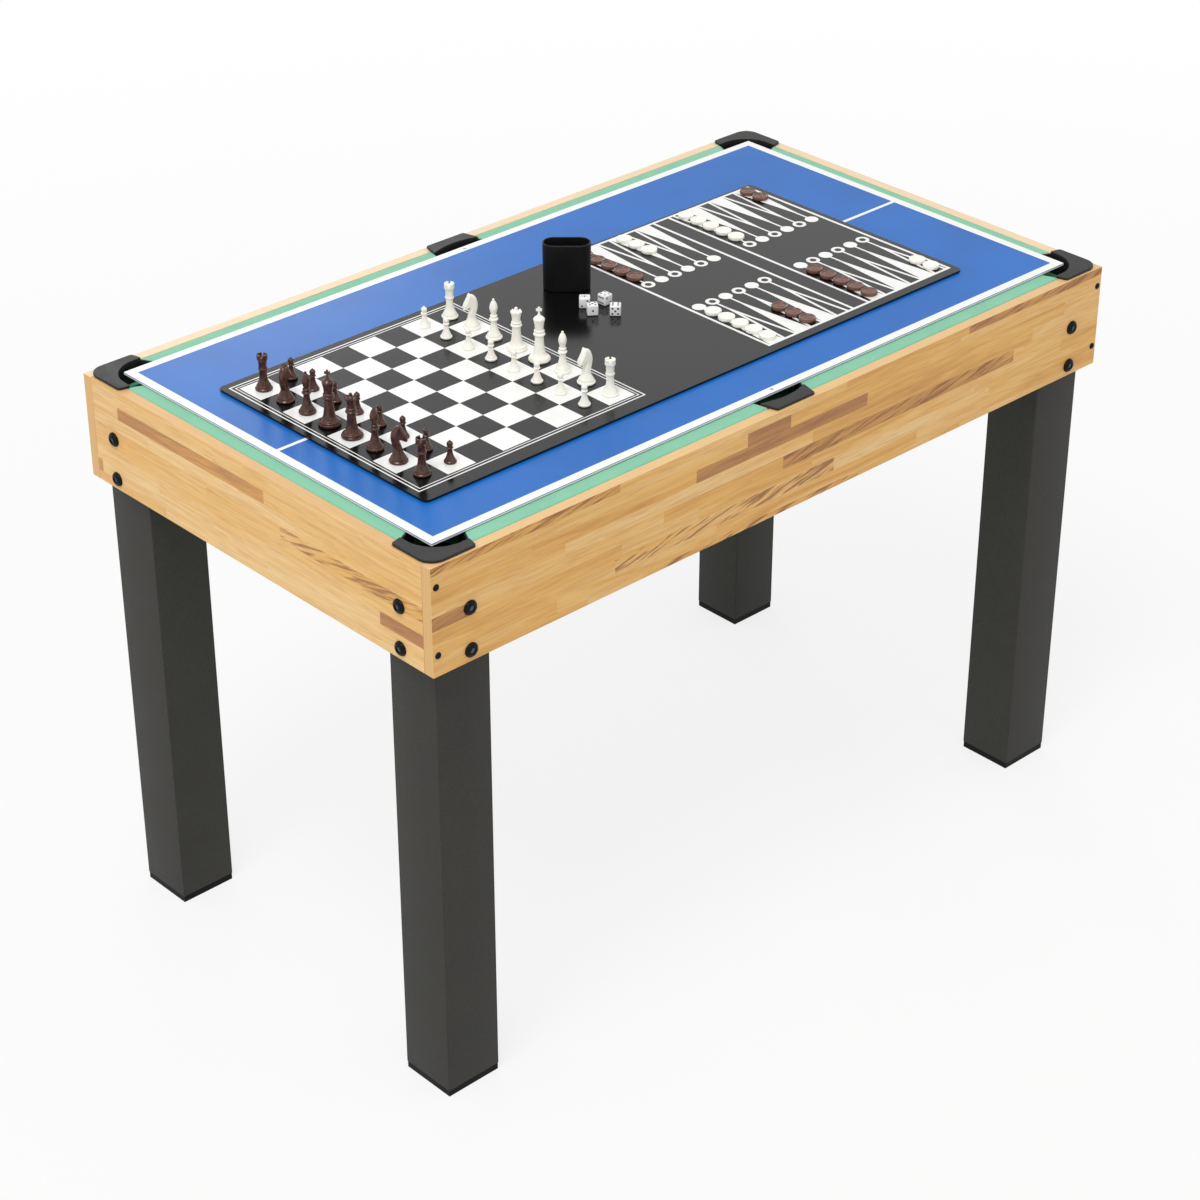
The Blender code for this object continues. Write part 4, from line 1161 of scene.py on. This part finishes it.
# %% [markdown]
# The backgammon field has two halves beside a bar. Each half has six points from either side,
# filled ones and outlined ones by turns, and each carries a disc or a ring on a thin stem.

# %% Backgammon print
PITCH = 0.0252
HALVES = ((0.0795, 0.2465), (0.2725, 0.4385))
FIRST_POINTS = (0.0844, 0.2814)
FIELD_LOW, FIELD_HIGH = board_low.y + 0.0138, board_high.y - 0.0035
FRAME_LINE, POINT_LINE, STEM_LINE = 0.0042, 0.0040, 0.0030
TIP_REACH, TIP_RADIUS, STEM = 0.049, 0.0098, 0.031
SPREAD, STEM_HALF = PITCH / 2, STEM_LINE / 2


def column(half, point):
    return FIRST_POINTS[half] + (point + 0.5) * PITCH


def filled_point(shape, centre, foot, neck, tip):
    flat(shape, (centre - SPREAD, foot), (centre + SPREAD, foot), (centre + STEM_HALF, neck),
         (centre - STEM_HALF, neck))
    flat(shape, *circle(centre, tip, TIP_RADIUS))


def outlined_point(shape, centre, foot, neck, tip):
    """Two lines that run from the foot's corners and meet in the neck, with no overlap."""
    share = (SPREAD - POINT_LINE) / (SPREAD - STEM_HALF)
    crotch = (centre, foot + share * (neck - foot))
    for side in (-1, 1):
        flat(shape, (centre + side * SPREAD, foot), (centre + side * (SPREAD - POINT_LINE), foot), crotch,
             (centre + side * STEM_HALF, neck))
    flat(shape, (centre - STEM_HALF, neck), crotch, (centre + STEM_HALF, neck))
    ring_between(shape, circle(centre, tip, TIP_RADIUS), circle(centre, tip, TIP_RADIUS / 2))


points = bmesh.new()
frame_line(points, HALVES[0][0], FIELD_LOW, HALVES[1][1], FIELD_HIGH, FRAME_LINE)
for x in (HALVES[0][1] - FRAME_LINE, HALVES[1][0]):
    bar(points, x, FIELD_LOW + FRAME_LINE, x + FRAME_LINE, FIELD_HIGH - FRAME_LINE)
for half, away in ((0, -1), (0, 1), (1, -1), (1, 1)):
    foot = FIELD_LOW + FRAME_LINE if away < 0 else FIELD_HIGH - FRAME_LINE
    tip = FIELD_MIDDLE + away * TIP_REACH
    neck, end = tip + away * STEM, tip + away * TIP_RADIUS
    for number in range(6):
        centre = column(half, number)
        bar(points, centre - STEM_HALF, min(neck, end), centre + STEM_HALF, max(neck, end))
        draw_point = filled_point if (number % 2 == 0) == (away < 0) else outlined_point
        draw_point(points, centre, foot, neck, tip)
print_on("backgammon_print", points, BOARD_TOP, "games_board")
print("backgammon faces:", len(bpy.data.meshes["backgammon_print"].polygons))

# %% [markdown]
# ## Chessmen
# The men are turned on a lathe and then carved: the rook gets its battlements, the bishop the
# cut in its mitre, the queen her coronet and the king his cross. A handful of points is enough
# for each outline when a smooth curve is drawn through them; a point given twice stays a crisp
# corner, as a lathe tool leaves between two beads.

# %% Smooth outlines
def eased(points, steps=4):
    """A smooth line through the points, with corners where a point is given twice."""
    runs = [[points[0]]]
    for point in points[1:]:
        if point == runs[-1][-1]:
            runs.append([point])
        else:
            runs[-1].append(point)
    line = []
    for run in runs:
        held = [run[0], *run, run[-1]]
        for a, b, c, d in zip(held, held[1:], held[2:], held[3:]):
            a, b, c, d = map(Vector, (a, b, c, d))
            for step in range(steps):
                t = step / steps
                line.append((2 * b + (c - a) * t + (2 * a - 5 * b + 4 * c - d) * t * t
                             + (3 * b - a - 3 * c + d) * t ** 3) / 2)
        line.append(Vector(run[-1]))
    return line


# Distances from the axis and heights, as shares of a man's radius and height
FOOT = ((0, 0), (0.94, 0), (0.94, 0), (1, 0.014), (1, 0.045), (0.95, 0.060), (0.95, 0.060))
PAWN = (*FOOT[:3], (1, 0.03), (1, 0.075), (0.93, 0.10), (0.93, 0.10), (0.86, 0.12), (0.80, 0.16),
        (0.60, 0.27), (0.44, 0.42), (0.37, 0.55), (0.36, 0.62), (0.36, 0.62), (0.52, 0.645),
        (0.54, 0.67), (0.48, 0.695), (0.35, 0.71), (0.35, 0.71), (0.43, 0.75), (0.49, 0.81),
        (0.48, 0.87), (0.37, 0.92), (0.20, 0.955), (0.12, 0.965), (0.12, 0.965), (0.14, 0.98),
        (0.08, 0.998), (0, 1))
ROOK = (*FOOT, (0.86, 0.08), (0.84, 0.11), (0.66, 0.19), (0.50, 0.28), (0.44, 0.38), (0.42, 0.50),
        (0.43, 0.56), (0.43, 0.56), (0.53, 0.575), (0.54, 0.60), (0.49, 0.62), (0.49, 0.62),
        (0.46, 0.66), (0.48, 0.78), (0.54, 0.84), (0.54, 0.84), (0.61, 0.86), (0.61, 0.88), (0.61, 1),
        (0.61, 1), (0.40, 1), (0.40, 1), (0.40, 0.93), (0.40, 0.93), (0, 0.93))
BISHOP = (*FOOT, (0.86, 0.07), (0.82, 0.10), (0.60, 0.18), (0.45, 0.27), (0.375, 0.36), (0.35, 0.46),
          (0.35, 0.46), (0.52, 0.475), (0.54, 0.495), (0.47, 0.515), (0.47, 0.515), (0.39, 0.52),
          (0.37, 0.55), (0.37, 0.55), (0.43, 0.565), (0.43, 0.58), (0.33, 0.595), (0.33, 0.595),
          (0.33, 0.63), (0.41, 0.69), (0.48, 0.75), (0.47, 0.81), (0.37, 0.88), (0.22, 0.935),
          (0.11, 0.95), (0.11, 0.95), (0.15, 0.965), (0.14, 0.985), (0.07, 0.998), (0, 1))
print("points on an eased pawn:", len(eased(PAWN)))

# %% [markdown]
# The queen and the king are taller and carry a second, narrower collar. The knight is turned only
# as far as his neck, because his head is carved.

# %% More outlines
QUEEN = (*FOOT, (0.88, 0.063), (0.90, 0.078), (0.86, 0.097), (0.74, 0.11), (0.74, 0.11), (0.68, 0.125),
         (0.55, 0.19), (0.47, 0.28), (0.42, 0.40), (0.39, 0.55), (0.39, 0.55), (0.52, 0.565),
         (0.54, 0.585), (0.47, 0.605), (0.47, 0.605), (0.42, 0.61), (0.41, 0.63), (0.41, 0.63),
         (0.47, 0.64), (0.47, 0.655), (0.40, 0.67), (0.40, 0.67), (0.39, 0.70), (0.43, 0.80),
         (0.54, 0.895), (0.54, 0.895), (0.48, 0.905), (0.48, 0.905), (0.38, 0.895), (0.28, 0.905),
         (0.15, 0.935), (0.15, 0.935), (0.12, 0.94), (0.16, 0.955), (0.16, 0.975), (0.10, 0.995), (0, 1))
KING = (*FOOT, (0.88, 0.053), (0.91, 0.064), (0.87, 0.082), (0.76, 0.094), (0.76, 0.094), (0.70, 0.105),
        (0.56, 0.16), (0.48, 0.24), (0.425, 0.34), (0.38, 0.47), (0.38, 0.47), (0.52, 0.485),
        (0.54, 0.505), (0.47, 0.525), (0.47, 0.525), (0.42, 0.53), (0.41, 0.545), (0.41, 0.545),
        (0.47, 0.555), (0.47, 0.568), (0.39, 0.58), (0.39, 0.58), (0.385, 0.60), (0.42, 0.68),
        (0.51, 0.765), (0.51, 0.765), (0.52, 0.78), (0.46, 0.80), (0.32, 0.825), (0.15, 0.848),
        (0.15, 0.848), (0.16, 0.858), (0.12, 0.87), (0, 0.872))
KNIGHT_BASE = (*FOOT, (0.86, 0.085), (0.84, 0.115), (0.68, 0.18), (0.54, 0.25), (0.46, 0.31),
               (0.43, 0.37), (0.43, 0.37), (0, 0.375))
# Each man's radius and height
SIZES = {"pawn": (0.0080, 0.030), "rook": (0.0113, 0.049), "knight": (0.0120, 0.050),
         "bishop": (0.0112, 0.057), "queen": (0.0140, 0.060), "king": (0.0145, 0.075)}
MAN_STEPS = 40


def turned_man(kind, outline):
    radius, height = SIZES[kind]
    return turned([(point.x * radius, point.y * height) for point in eased(outline)], MAN_STEPS)


print("men to make:", sorted(SIZES))

# %% [markdown]
# Cutting is done with a boolean, which keeps both the turned surface and the cutter's clean
# edges. The cutters are thin blocks: two crossed ones make the rook's battlements, and one
# slanted block makes the bishop's cut.

# %% Carve the rook and the bishop
SLOT_HALF, SLOT_DEPTH = 0.0014, 0.0033
MITRE_CUT_HALF, MITRE_CUT_HEIGHT, MITRE_CUT_SLANT = 0.0006, 0.80, -38
CUTTER_REACH, CUTTER_RISE = 0.014, 0.004


def carved(shape, cutter):
    """The shape less the cutter, through a boolean modifier that is applied at once."""
    solids = []
    for label, form in (("blank", shape), ("cutter", cutter)):
        bmesh.ops.recalc_face_normals(form, faces=form.faces[:])
        solids.append(add_object(label, freeze(label, form)))
    blank, knife = solids
    cut = blank.modifiers.new("cut", "BOOLEAN")
    cut.operation, cut.solver, cut.object = "DIFFERENCE", "EXACT", knife
    result = bmesh.new()
    result.from_object(blank, bpy.context.evaluated_depsgraph_get())
    for solid in solids:
        mesh = solid.data
        bpy.data.objects.remove(solid)
        bpy.data.meshes.remove(mesh)
    return result


def rook():
    shape = turned_man("rook", ROOK)
    top = SIZES["rook"][1]
    for turn in (45, 135):
        slot = prism(rectangle(CUTTER_REACH, SLOT_HALF), top - SLOT_DEPTH, top + CUTTER_RISE)
        bmesh.ops.rotate(slot, verts=slot.verts[:], matrix=Matrix.Rotation(math.radians(turn), 3, "Z"))
        shape = carved(shape, slot)
    return shape


def bishop():
    shape = turned_man("bishop", BISHOP)
    outline = [(0, -CUTTER_REACH), (CUTTER_REACH, -CUTTER_REACH), (CUTTER_REACH, CUTTER_REACH),
               (0, CUTTER_REACH)]
    slot = prism(outline, -MITRE_CUT_HALF, MITRE_CUT_HALF)
    lean = Matrix.Rotation(math.radians(MITRE_CUT_SLANT), 4, "Y")
    place = Matrix.Translation((0, 0, MITRE_CUT_HEIGHT * SIZES["bishop"][1]))
    bmesh.ops.transform(slot, matrix=place @ lean, verts=slot.verts[:])
    return carved(shape, slot)


print("battlement slots:", 2 * SLOT_HALF, "wide and", SLOT_DEPTH, "deep")

# %% [markdown]
# The queen's coronet is a wave run round the rim: eight crests lifted and eight hollows pressed
# down. The king's cross is a small cut-out plate that stands on his crown, with softened edges.

# %% Crown the queen and the king
CRESTS, CREST_HEIGHT = 8, 0.0011
CORONET_START, CORONET_FADE, CORONET_REACH = 0.86, 0.03, 0.44
CROSS_HALF, CROSS_ARM, CROSS_FLARE, CROSS_BEVEL = 0.0012, 0.0038, 1.3, 0.0003
CROSS_FOOT, ARM_LOW, ARM_HIGH = 0.85, 0.0050, 0.0024
# The cross is four layers: how far from its middle each lies, and how much of its width it keeps
CROSS_LAYERS = ((-0.0013, 0.86), (-0.0009, 1), (0.0009, 1), (0.0013, 0.86))


def queen():
    shape = turned_man("queen", QUEEN)
    radius, height = SIZES["queen"]
    for vert in shape.verts:
        out, rise = vert.co.xy.length / radius, vert.co.z / height
        if out > CORONET_REACH and rise > CORONET_START:
            swing = math.cos(CRESTS * math.atan2(vert.co.y, vert.co.x))
            vert.co.z += CREST_HEIGHT * swing * min(1, (rise - CORONET_START) / CORONET_FADE)
    return shape


def king():
    shape = turned_man("king", KING)
    top = SIZES["king"][1]
    low, high, wide = top - ARM_LOW, top - ARM_HIGH, CROSS_HALF * CROSS_FLARE
    right = [(wide, CROSS_FOOT * top), (CROSS_HALF, low), (CROSS_ARM, low - CROSS_BEVEL),
             (CROSS_ARM, high + CROSS_BEVEL), (CROSS_HALF, high), (wide, top)]
    outline = right + [(-x, z) for x, z in reversed(right)]
    rings = [[Vector((x * share, y, z)) for x, z in outline] for y, share in CROSS_LAYERS]
    return skin(rings, shape=shape)


print("king's height:", SIZES["king"][1])

# %% [markdown]
# The knight's head can't be turned. A sculptor would carve it; here its side view is drawn once
# and repeated in layers across its thickness. Each layer is drawn in towards a spine that runs
# up the neck and along the muzzle, so that neck, cheek and nose come out rounded, and the mane
# stays a thin crest. Two small domes are the eyes.

# %% Shape the knight
# A point of the side view and the point of the spine behind it, in shares of radius and height
HEAD = ((0.40, 0.33, -0.04, 0.34), (0.38, 0.40, -0.04, 0.41), (0.30, 0.47, -0.10, 0.49),
        (0.20, 0.53, -0.14, 0.56), (0.17, 0.57, -0.10, 0.63), (0.30, 0.585, 0.10, 0.69),
        (0.52, 0.562, 0.36, 0.67), (0.78, 0.532, 0.64, 0.62), (0.94, 0.540, 0.80, 0.60),
        (1.01, 0.59, 0.82, 0.61), (0.96, 0.655, 0.74, 0.65), (0.82, 0.745, 0.52, 0.70),
        (0.66, 0.83, 0.30, 0.76), (0.50, 0.895, 0.20, 0.80), (0.41, 0.955, 0.16, 0.88),
        (0.24, 1.0, 0.14, 0.93), (0.08, 0.955, 0.04, 0.88), (-0.12, 0.955, 0.0, 0.80),
        (-0.36, 0.915, -0.06, 0.74), (-0.56, 0.85, -0.12, 0.70), (-0.69, 0.76, -0.16, 0.64),
        (-0.74, 0.66, -0.18, 0.58), (-0.70, 0.55, -0.16, 0.52), (-0.58, 0.44, -0.10, 0.43),
        (-0.46, 0.33, -0.04, 0.34))
HEAD_HALF, HEAD_LAYERS, ROUNDNESS = 0.0051, 8, 0.80
# The eye's place in shares of radius, half the head's thickness and height
EYE_PLACE, EYE_RADIUS = (0.42, 0.74, 0.80), 0.0011


def knight():
    shape = turned_man("knight", KNIGHT_BASE)
    radius, height = SIZES["knight"]
    rings = []
    for step in range(HEAD_LAYERS + 1):
        across = 2 * step / HEAD_LAYERS - 1
        keep = math.sqrt(1 - ROUNDNESS * across * across)
        rings.append([Vector(((spine_x + (x - spine_x) * keep) * radius, HEAD_HALF * across,
                              (spine_z + (z - spine_z) * keep) * height))
                      for x, z, spine_x, spine_z in HEAD])
    skin(rings, shape=shape)
    ahead, aside, up = EYE_PLACE
    for side in (-1, 1):
        spot = Matrix.Translation((ahead * radius, side * aside * HEAD_HALF, up * height))
        bmesh.ops.create_icosphere(shape, subdivisions=2, radius=EYE_RADIUS, matrix=spot)
    return shape


print("head points:", len(HEAD))

# %% [markdown]
# Both sides are moulded plastic: ivory, which lets a little light in, and brown with nearly
# black swirls.

# %% Plastic of the men
def man_plastic(name, colour, shade, depth, roughness=0.34, streaks=(160, 160, 160)):
    material, tree, shader, place = new_finish(name, roughness)
    swirl = noise(tree, place, 1, 4, streaks, 0.6)
    wire(tree, shader, Base_Color=mottled(tree, swirl, 1, paint(*colour), paint(*shade)),
         Subsurface_Weight=depth, Subsurface_Scale=0.002)
    emboss(tree, shader, noise(tree, place, 900, 2), 0.00004)
    return material


brown_plastic = man_plastic("brown_plastic", (96, 52, 33), (30, 14, 9), 0.0, 0.20, (330, 330, 110))
ivory_plastic = man_plastic("ivory_plastic", (255, 254, 244), (253, 250, 236), 0.15)
print("plastics:", brown_plastic.name, ivory_plastic.name)

# %% [markdown]
# Each kind is made once in each colour and set down as often as the game needs it. The game has
# just been set out, so every man stands on the middle of his square.

# %% Set out the chessmen
CARVERS = {"pawn": lambda: turned_man("pawn", PAWN), "rook": rook, "knight": knight, "bishop": bishop,
           "queen": queen, "king": king}
YAWS = {"dark_knight_1": 12, "dark_knight_2": -38, "light_knight_1": 156, "light_knight_2": 172,
        "dark_king": -43, "light_king": -43}
WING = ("rook", "knight", "bishop")
# Side, finish, slot, the files of its officers and of its pawns, and the officers in their order
SIDES = (("dark", brown_plastic, "man_brown", 0, 1, (*WING, "king", "queen", *WING[::-1])),
         ("light", ivory_plastic, "man_ivory", 7, 6, (*WING, "queen", "king", *WING[::-1])))

for shade, finish, slot, officers_file, pawns_file, officers in SIDES:
    meshes = {kind: to_mesh(f"{shade}_{kind}", make(), finish) for kind, make in CARVERS.items()}
    squares = [("pawn", pawns_file, rank) for rank in range(8)]
    squares += [(kind, officers_file, rank) for rank, kind in enumerate(officers)]
    made = {}
    for kind, file, rank in squares:
        made[kind] = made.get(kind, 0) + 1
        node = f"{shade}_{kind}" if kind in ("king", "queen") else f"{shade}_{kind}_{made[kind]}"
        spot = (CHESS_LEFT + (file + 0.5) * SQUARE, FIELD_MIDDLE + (3.5 - rank) * SQUARE, BOARD_TOP + GAP)
        set_down(node + "_turned", meshes[kind], spot, math.radians(YAWS.get(node, 0)),
                 f"{shade}_chessmen", [node])
    print(shade, "men:", made)

# %% [markdown]
# ## Checkers
# Thirty flat counters lie on the backgammon points in the usual opening. Each is a small disc
# with a raised rim, a shallow dish and a low ring inside it. They overlap nothing: a row is a
# column of discs, one pitch apart, starting near the frame.

# %% Set out the checkers
CHECKER_RADIUS, CHECKER_HEIGHT, CHECKER_STEPS = 0.0115, 0.0052, 48
CHECKER_LIFT, ROW_REACH = 0.0002, 0.189
# Half of the field, point, whether on the far side, and how many lie there
DARK_CHECKERS = ((0, 0, True, 5), (1, 5, True, 2), (0, 3, False, 3), (1, 0, False, 5))
LIGHT_CHECKERS = ((0, 3, True, 3), (1, 0, True, 5), (0, 0, False, 5), (1, 5, False, 2))


def checker_outline(radius, height):
    chamfer, inner, floor = radius - 0.0008, radius - 0.0030, height - 0.0010
    return ((0, 0), (chamfer, 0), (chamfer, 0), (radius, 0.0008), (radius, height - 0.0008),
            (radius - 0.0006, height - 0.0001), (radius - 0.0014, height), (radius - 0.0024, height - 0.0003),
            (inner, floor), (inner, floor), (0.0050, floor), (0.0050, floor), (0.0044, height - 0.0005),
            (0.0036, height - 0.0005), (0.0030, floor), (0.0030, floor), (0, floor))


checker_brown = man_plastic("checker_brown", (122, 82, 70), (102, 66, 55), 0.0)
checker_cream = man_plastic("checker_cream", (255, 254, 246), (252, 250, 238), 0.10)
for shade, layout, finish, slot in (("dark", DARK_CHECKERS, checker_brown, "man_brown"),
                                    ("light", LIGHT_CHECKERS, checker_cream, "man_ivory")):
    outline = eased(checker_outline(CHECKER_RADIUS, CHECKER_HEIGHT), 2)
    mesh = to_mesh(f"{shade}_checker", turned(outline, CHECKER_STEPS), finish)
    number = 0
    for half, point, far, amount in layout:
        away = 1 if far else -1
        for row in range(amount):
            number += 1
            spot = (column(half, point), FIELD_MIDDLE + away * (ROW_REACH - (row + 0.5) * PITCH),
                    BOARD_TOP + CHECKER_LIFT)
            set_down(f"{shade}_checker_{number}", mesh, spot, body="games_board")
    print(shade, "checkers:", number)

# %% [markdown]
# ## Dice and cup
# Dice are cubes with rounded edges and inked pips; opposite faces add up to seven.

# %% Make a die
DIE, DIE_EDGE = 0.015, 0.0020
PIP_PITCH, PIP_RADIUS, PIP_LIFT = 0.0037, 0.0014, 0.00004
CORNER_PIPS = ((-1, -1), (-1, 1), (1, -1), (1, 1))
PIPS = {1: ((0, 0),), 2: ((-1, -1), (1, 1)), 3: ((-1, -1), (0, 0), (1, 1)), 4: CORNER_PIPS,
        5: (*CORNER_PIPS, (0, 0)), 6: (*CORNER_PIPS, (-1, 0), (1, 0))}
# For each number, the turns about X and Y that bring the die's top to its face
FACES = {1: (0, 0), 6: (180, 0), 2: (90, 0), 5: (-90, 0), 3: (0, 90), 4: (0, -90)}


def die_mesh(*finishes):
    shape = bmesh.new()
    bmesh.ops.create_cube(shape, size=DIE)
    bmesh.ops.bevel(shape, geom=shape.edges[:] + shape.verts[:], offset=DIE_EDGE, segments=5, profile=0.5,
                    affect="EDGES")
    for value, (tip, lean) in FACES.items():
        facing = Matrix.Rotation(math.radians(tip), 4, "X") @ Matrix.Rotation(math.radians(lean), 4, "Y")
        for x, y in PIPS[value]:
            spot = facing @ Matrix.Translation((x * PIP_PITCH, y * PIP_PITCH, DIE / 2 + PIP_LIFT))
            pip = bmesh.ops.create_circle(shape, cap_ends=True, segments=20, radius=PIP_RADIUS, matrix=spot)
            for face in pip["verts"][0].link_faces:
                face.material_index = 1
    return to_mesh("die", shape, *finishes)


die_white = man_plastic("die_white", (250, 250, 250), (244, 244, 244), 0.05)
pip_ink = moulded_plastic("pip_ink", (20, 20, 20), 0.4)
cube_mesh = die_mesh(die_white, pip_ink)
print("pips:", sum(len(spots) for spots in PIPS.values()))

# %% [markdown]
# Four dice lie between the two fields. Each has a place, a turn about the upright and a tip that
# brings a number to the top.

# %% Throw the dice
DIE_LIFT = 0.0001
board_middle, board_size = (board_low + board_high) / 2, board_high - board_low
# Place from the board's middle in shares of its size, turn, and the axis and angle of the tip
THROWS = ((0.023, 0.154, -43, "X", 0), (0.0145, 0.0955, -37, "X", 90), (0.050, 0.125, 2, "Y", 90),
          (0.037, 0.042, -46, "X", 180))
for number, (share_x, share_y, yaw, axis, tip) in enumerate(THROWS):
    stand = Matrix.Translation((board_middle.x + share_x * board_size.x,
                                board_middle.y + share_y * board_size.y, BOARD_TOP + DIE / 2 + DIE_LIFT))
    axes = stand @ Matrix.Rotation(math.radians(yaw), 4, "Z") @ Matrix.Rotation(math.radians(tip), 4, axis)
    set_down(f"die_{number + 1}", cube_mesh, body="games_board", axes=axes)
print("dice:", len(THROWS))

# %% [markdown]
# The cup is an oval beaker: one rounded outline lofted up the outside, over a soft rim and down
# the inside.

# %% Stand the cup
CUP_HALF_X, CUP_HALF_Y, CUP_HEIGHT, CUP_WALL = 0.033, 0.016, 0.068, 0.0022
CUP_YAW = -43


def stadium(inset):
    half_x, half_y = CUP_HALF_X - inset, CUP_HALF_Y - inset
    straight = half_x - half_y
    return (arc((straight, 0), half_y, -QUARTER, QUARTER, 20)
            + arc((-straight, 0), half_y, QUARTER, 3 * QUARTER, 20))


# How far the outline is drawn in, and at what height
wall = [(0.0022, 0.0), (0.0010, 0.0006), (0.0008, 0.0018), (0.0008, 0.0040), (0.0004, 0.034),
        (0.0, 0.0640)]
rim = arc((CUP_WALL / 2, CUP_HEIGHT - CUP_WALL / 2), CUP_WALL / 2, math.pi, 0, 8)
hollow = [(CUP_WALL + 0.0006, 0.010), (CUP_WALL + 0.0012, 0.0042), (CUP_WALL + 0.0030, 0.0030)]
beaker = skin([level(stadium(inset), height) for inset, height in wall + rim + hollow])
cup_mesh = to_mesh("dice_beaker", beaker, moulded_plastic("cup_plastic", (10, 10, 10), 0.42, 0.24))
cup_low, cup_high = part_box("dice_cup")
cup_spot = ((cup_low.x + cup_high.x) / 2, (cup_low.y + cup_high.y) / 2, cup_low.z)
set_down("dice_beaker", cup_mesh, cup_spot, math.radians(CUP_YAW), "dice_cup", ["dice_cup"])
print("cup stands at", [round(part, 4) for part in cup_spot])
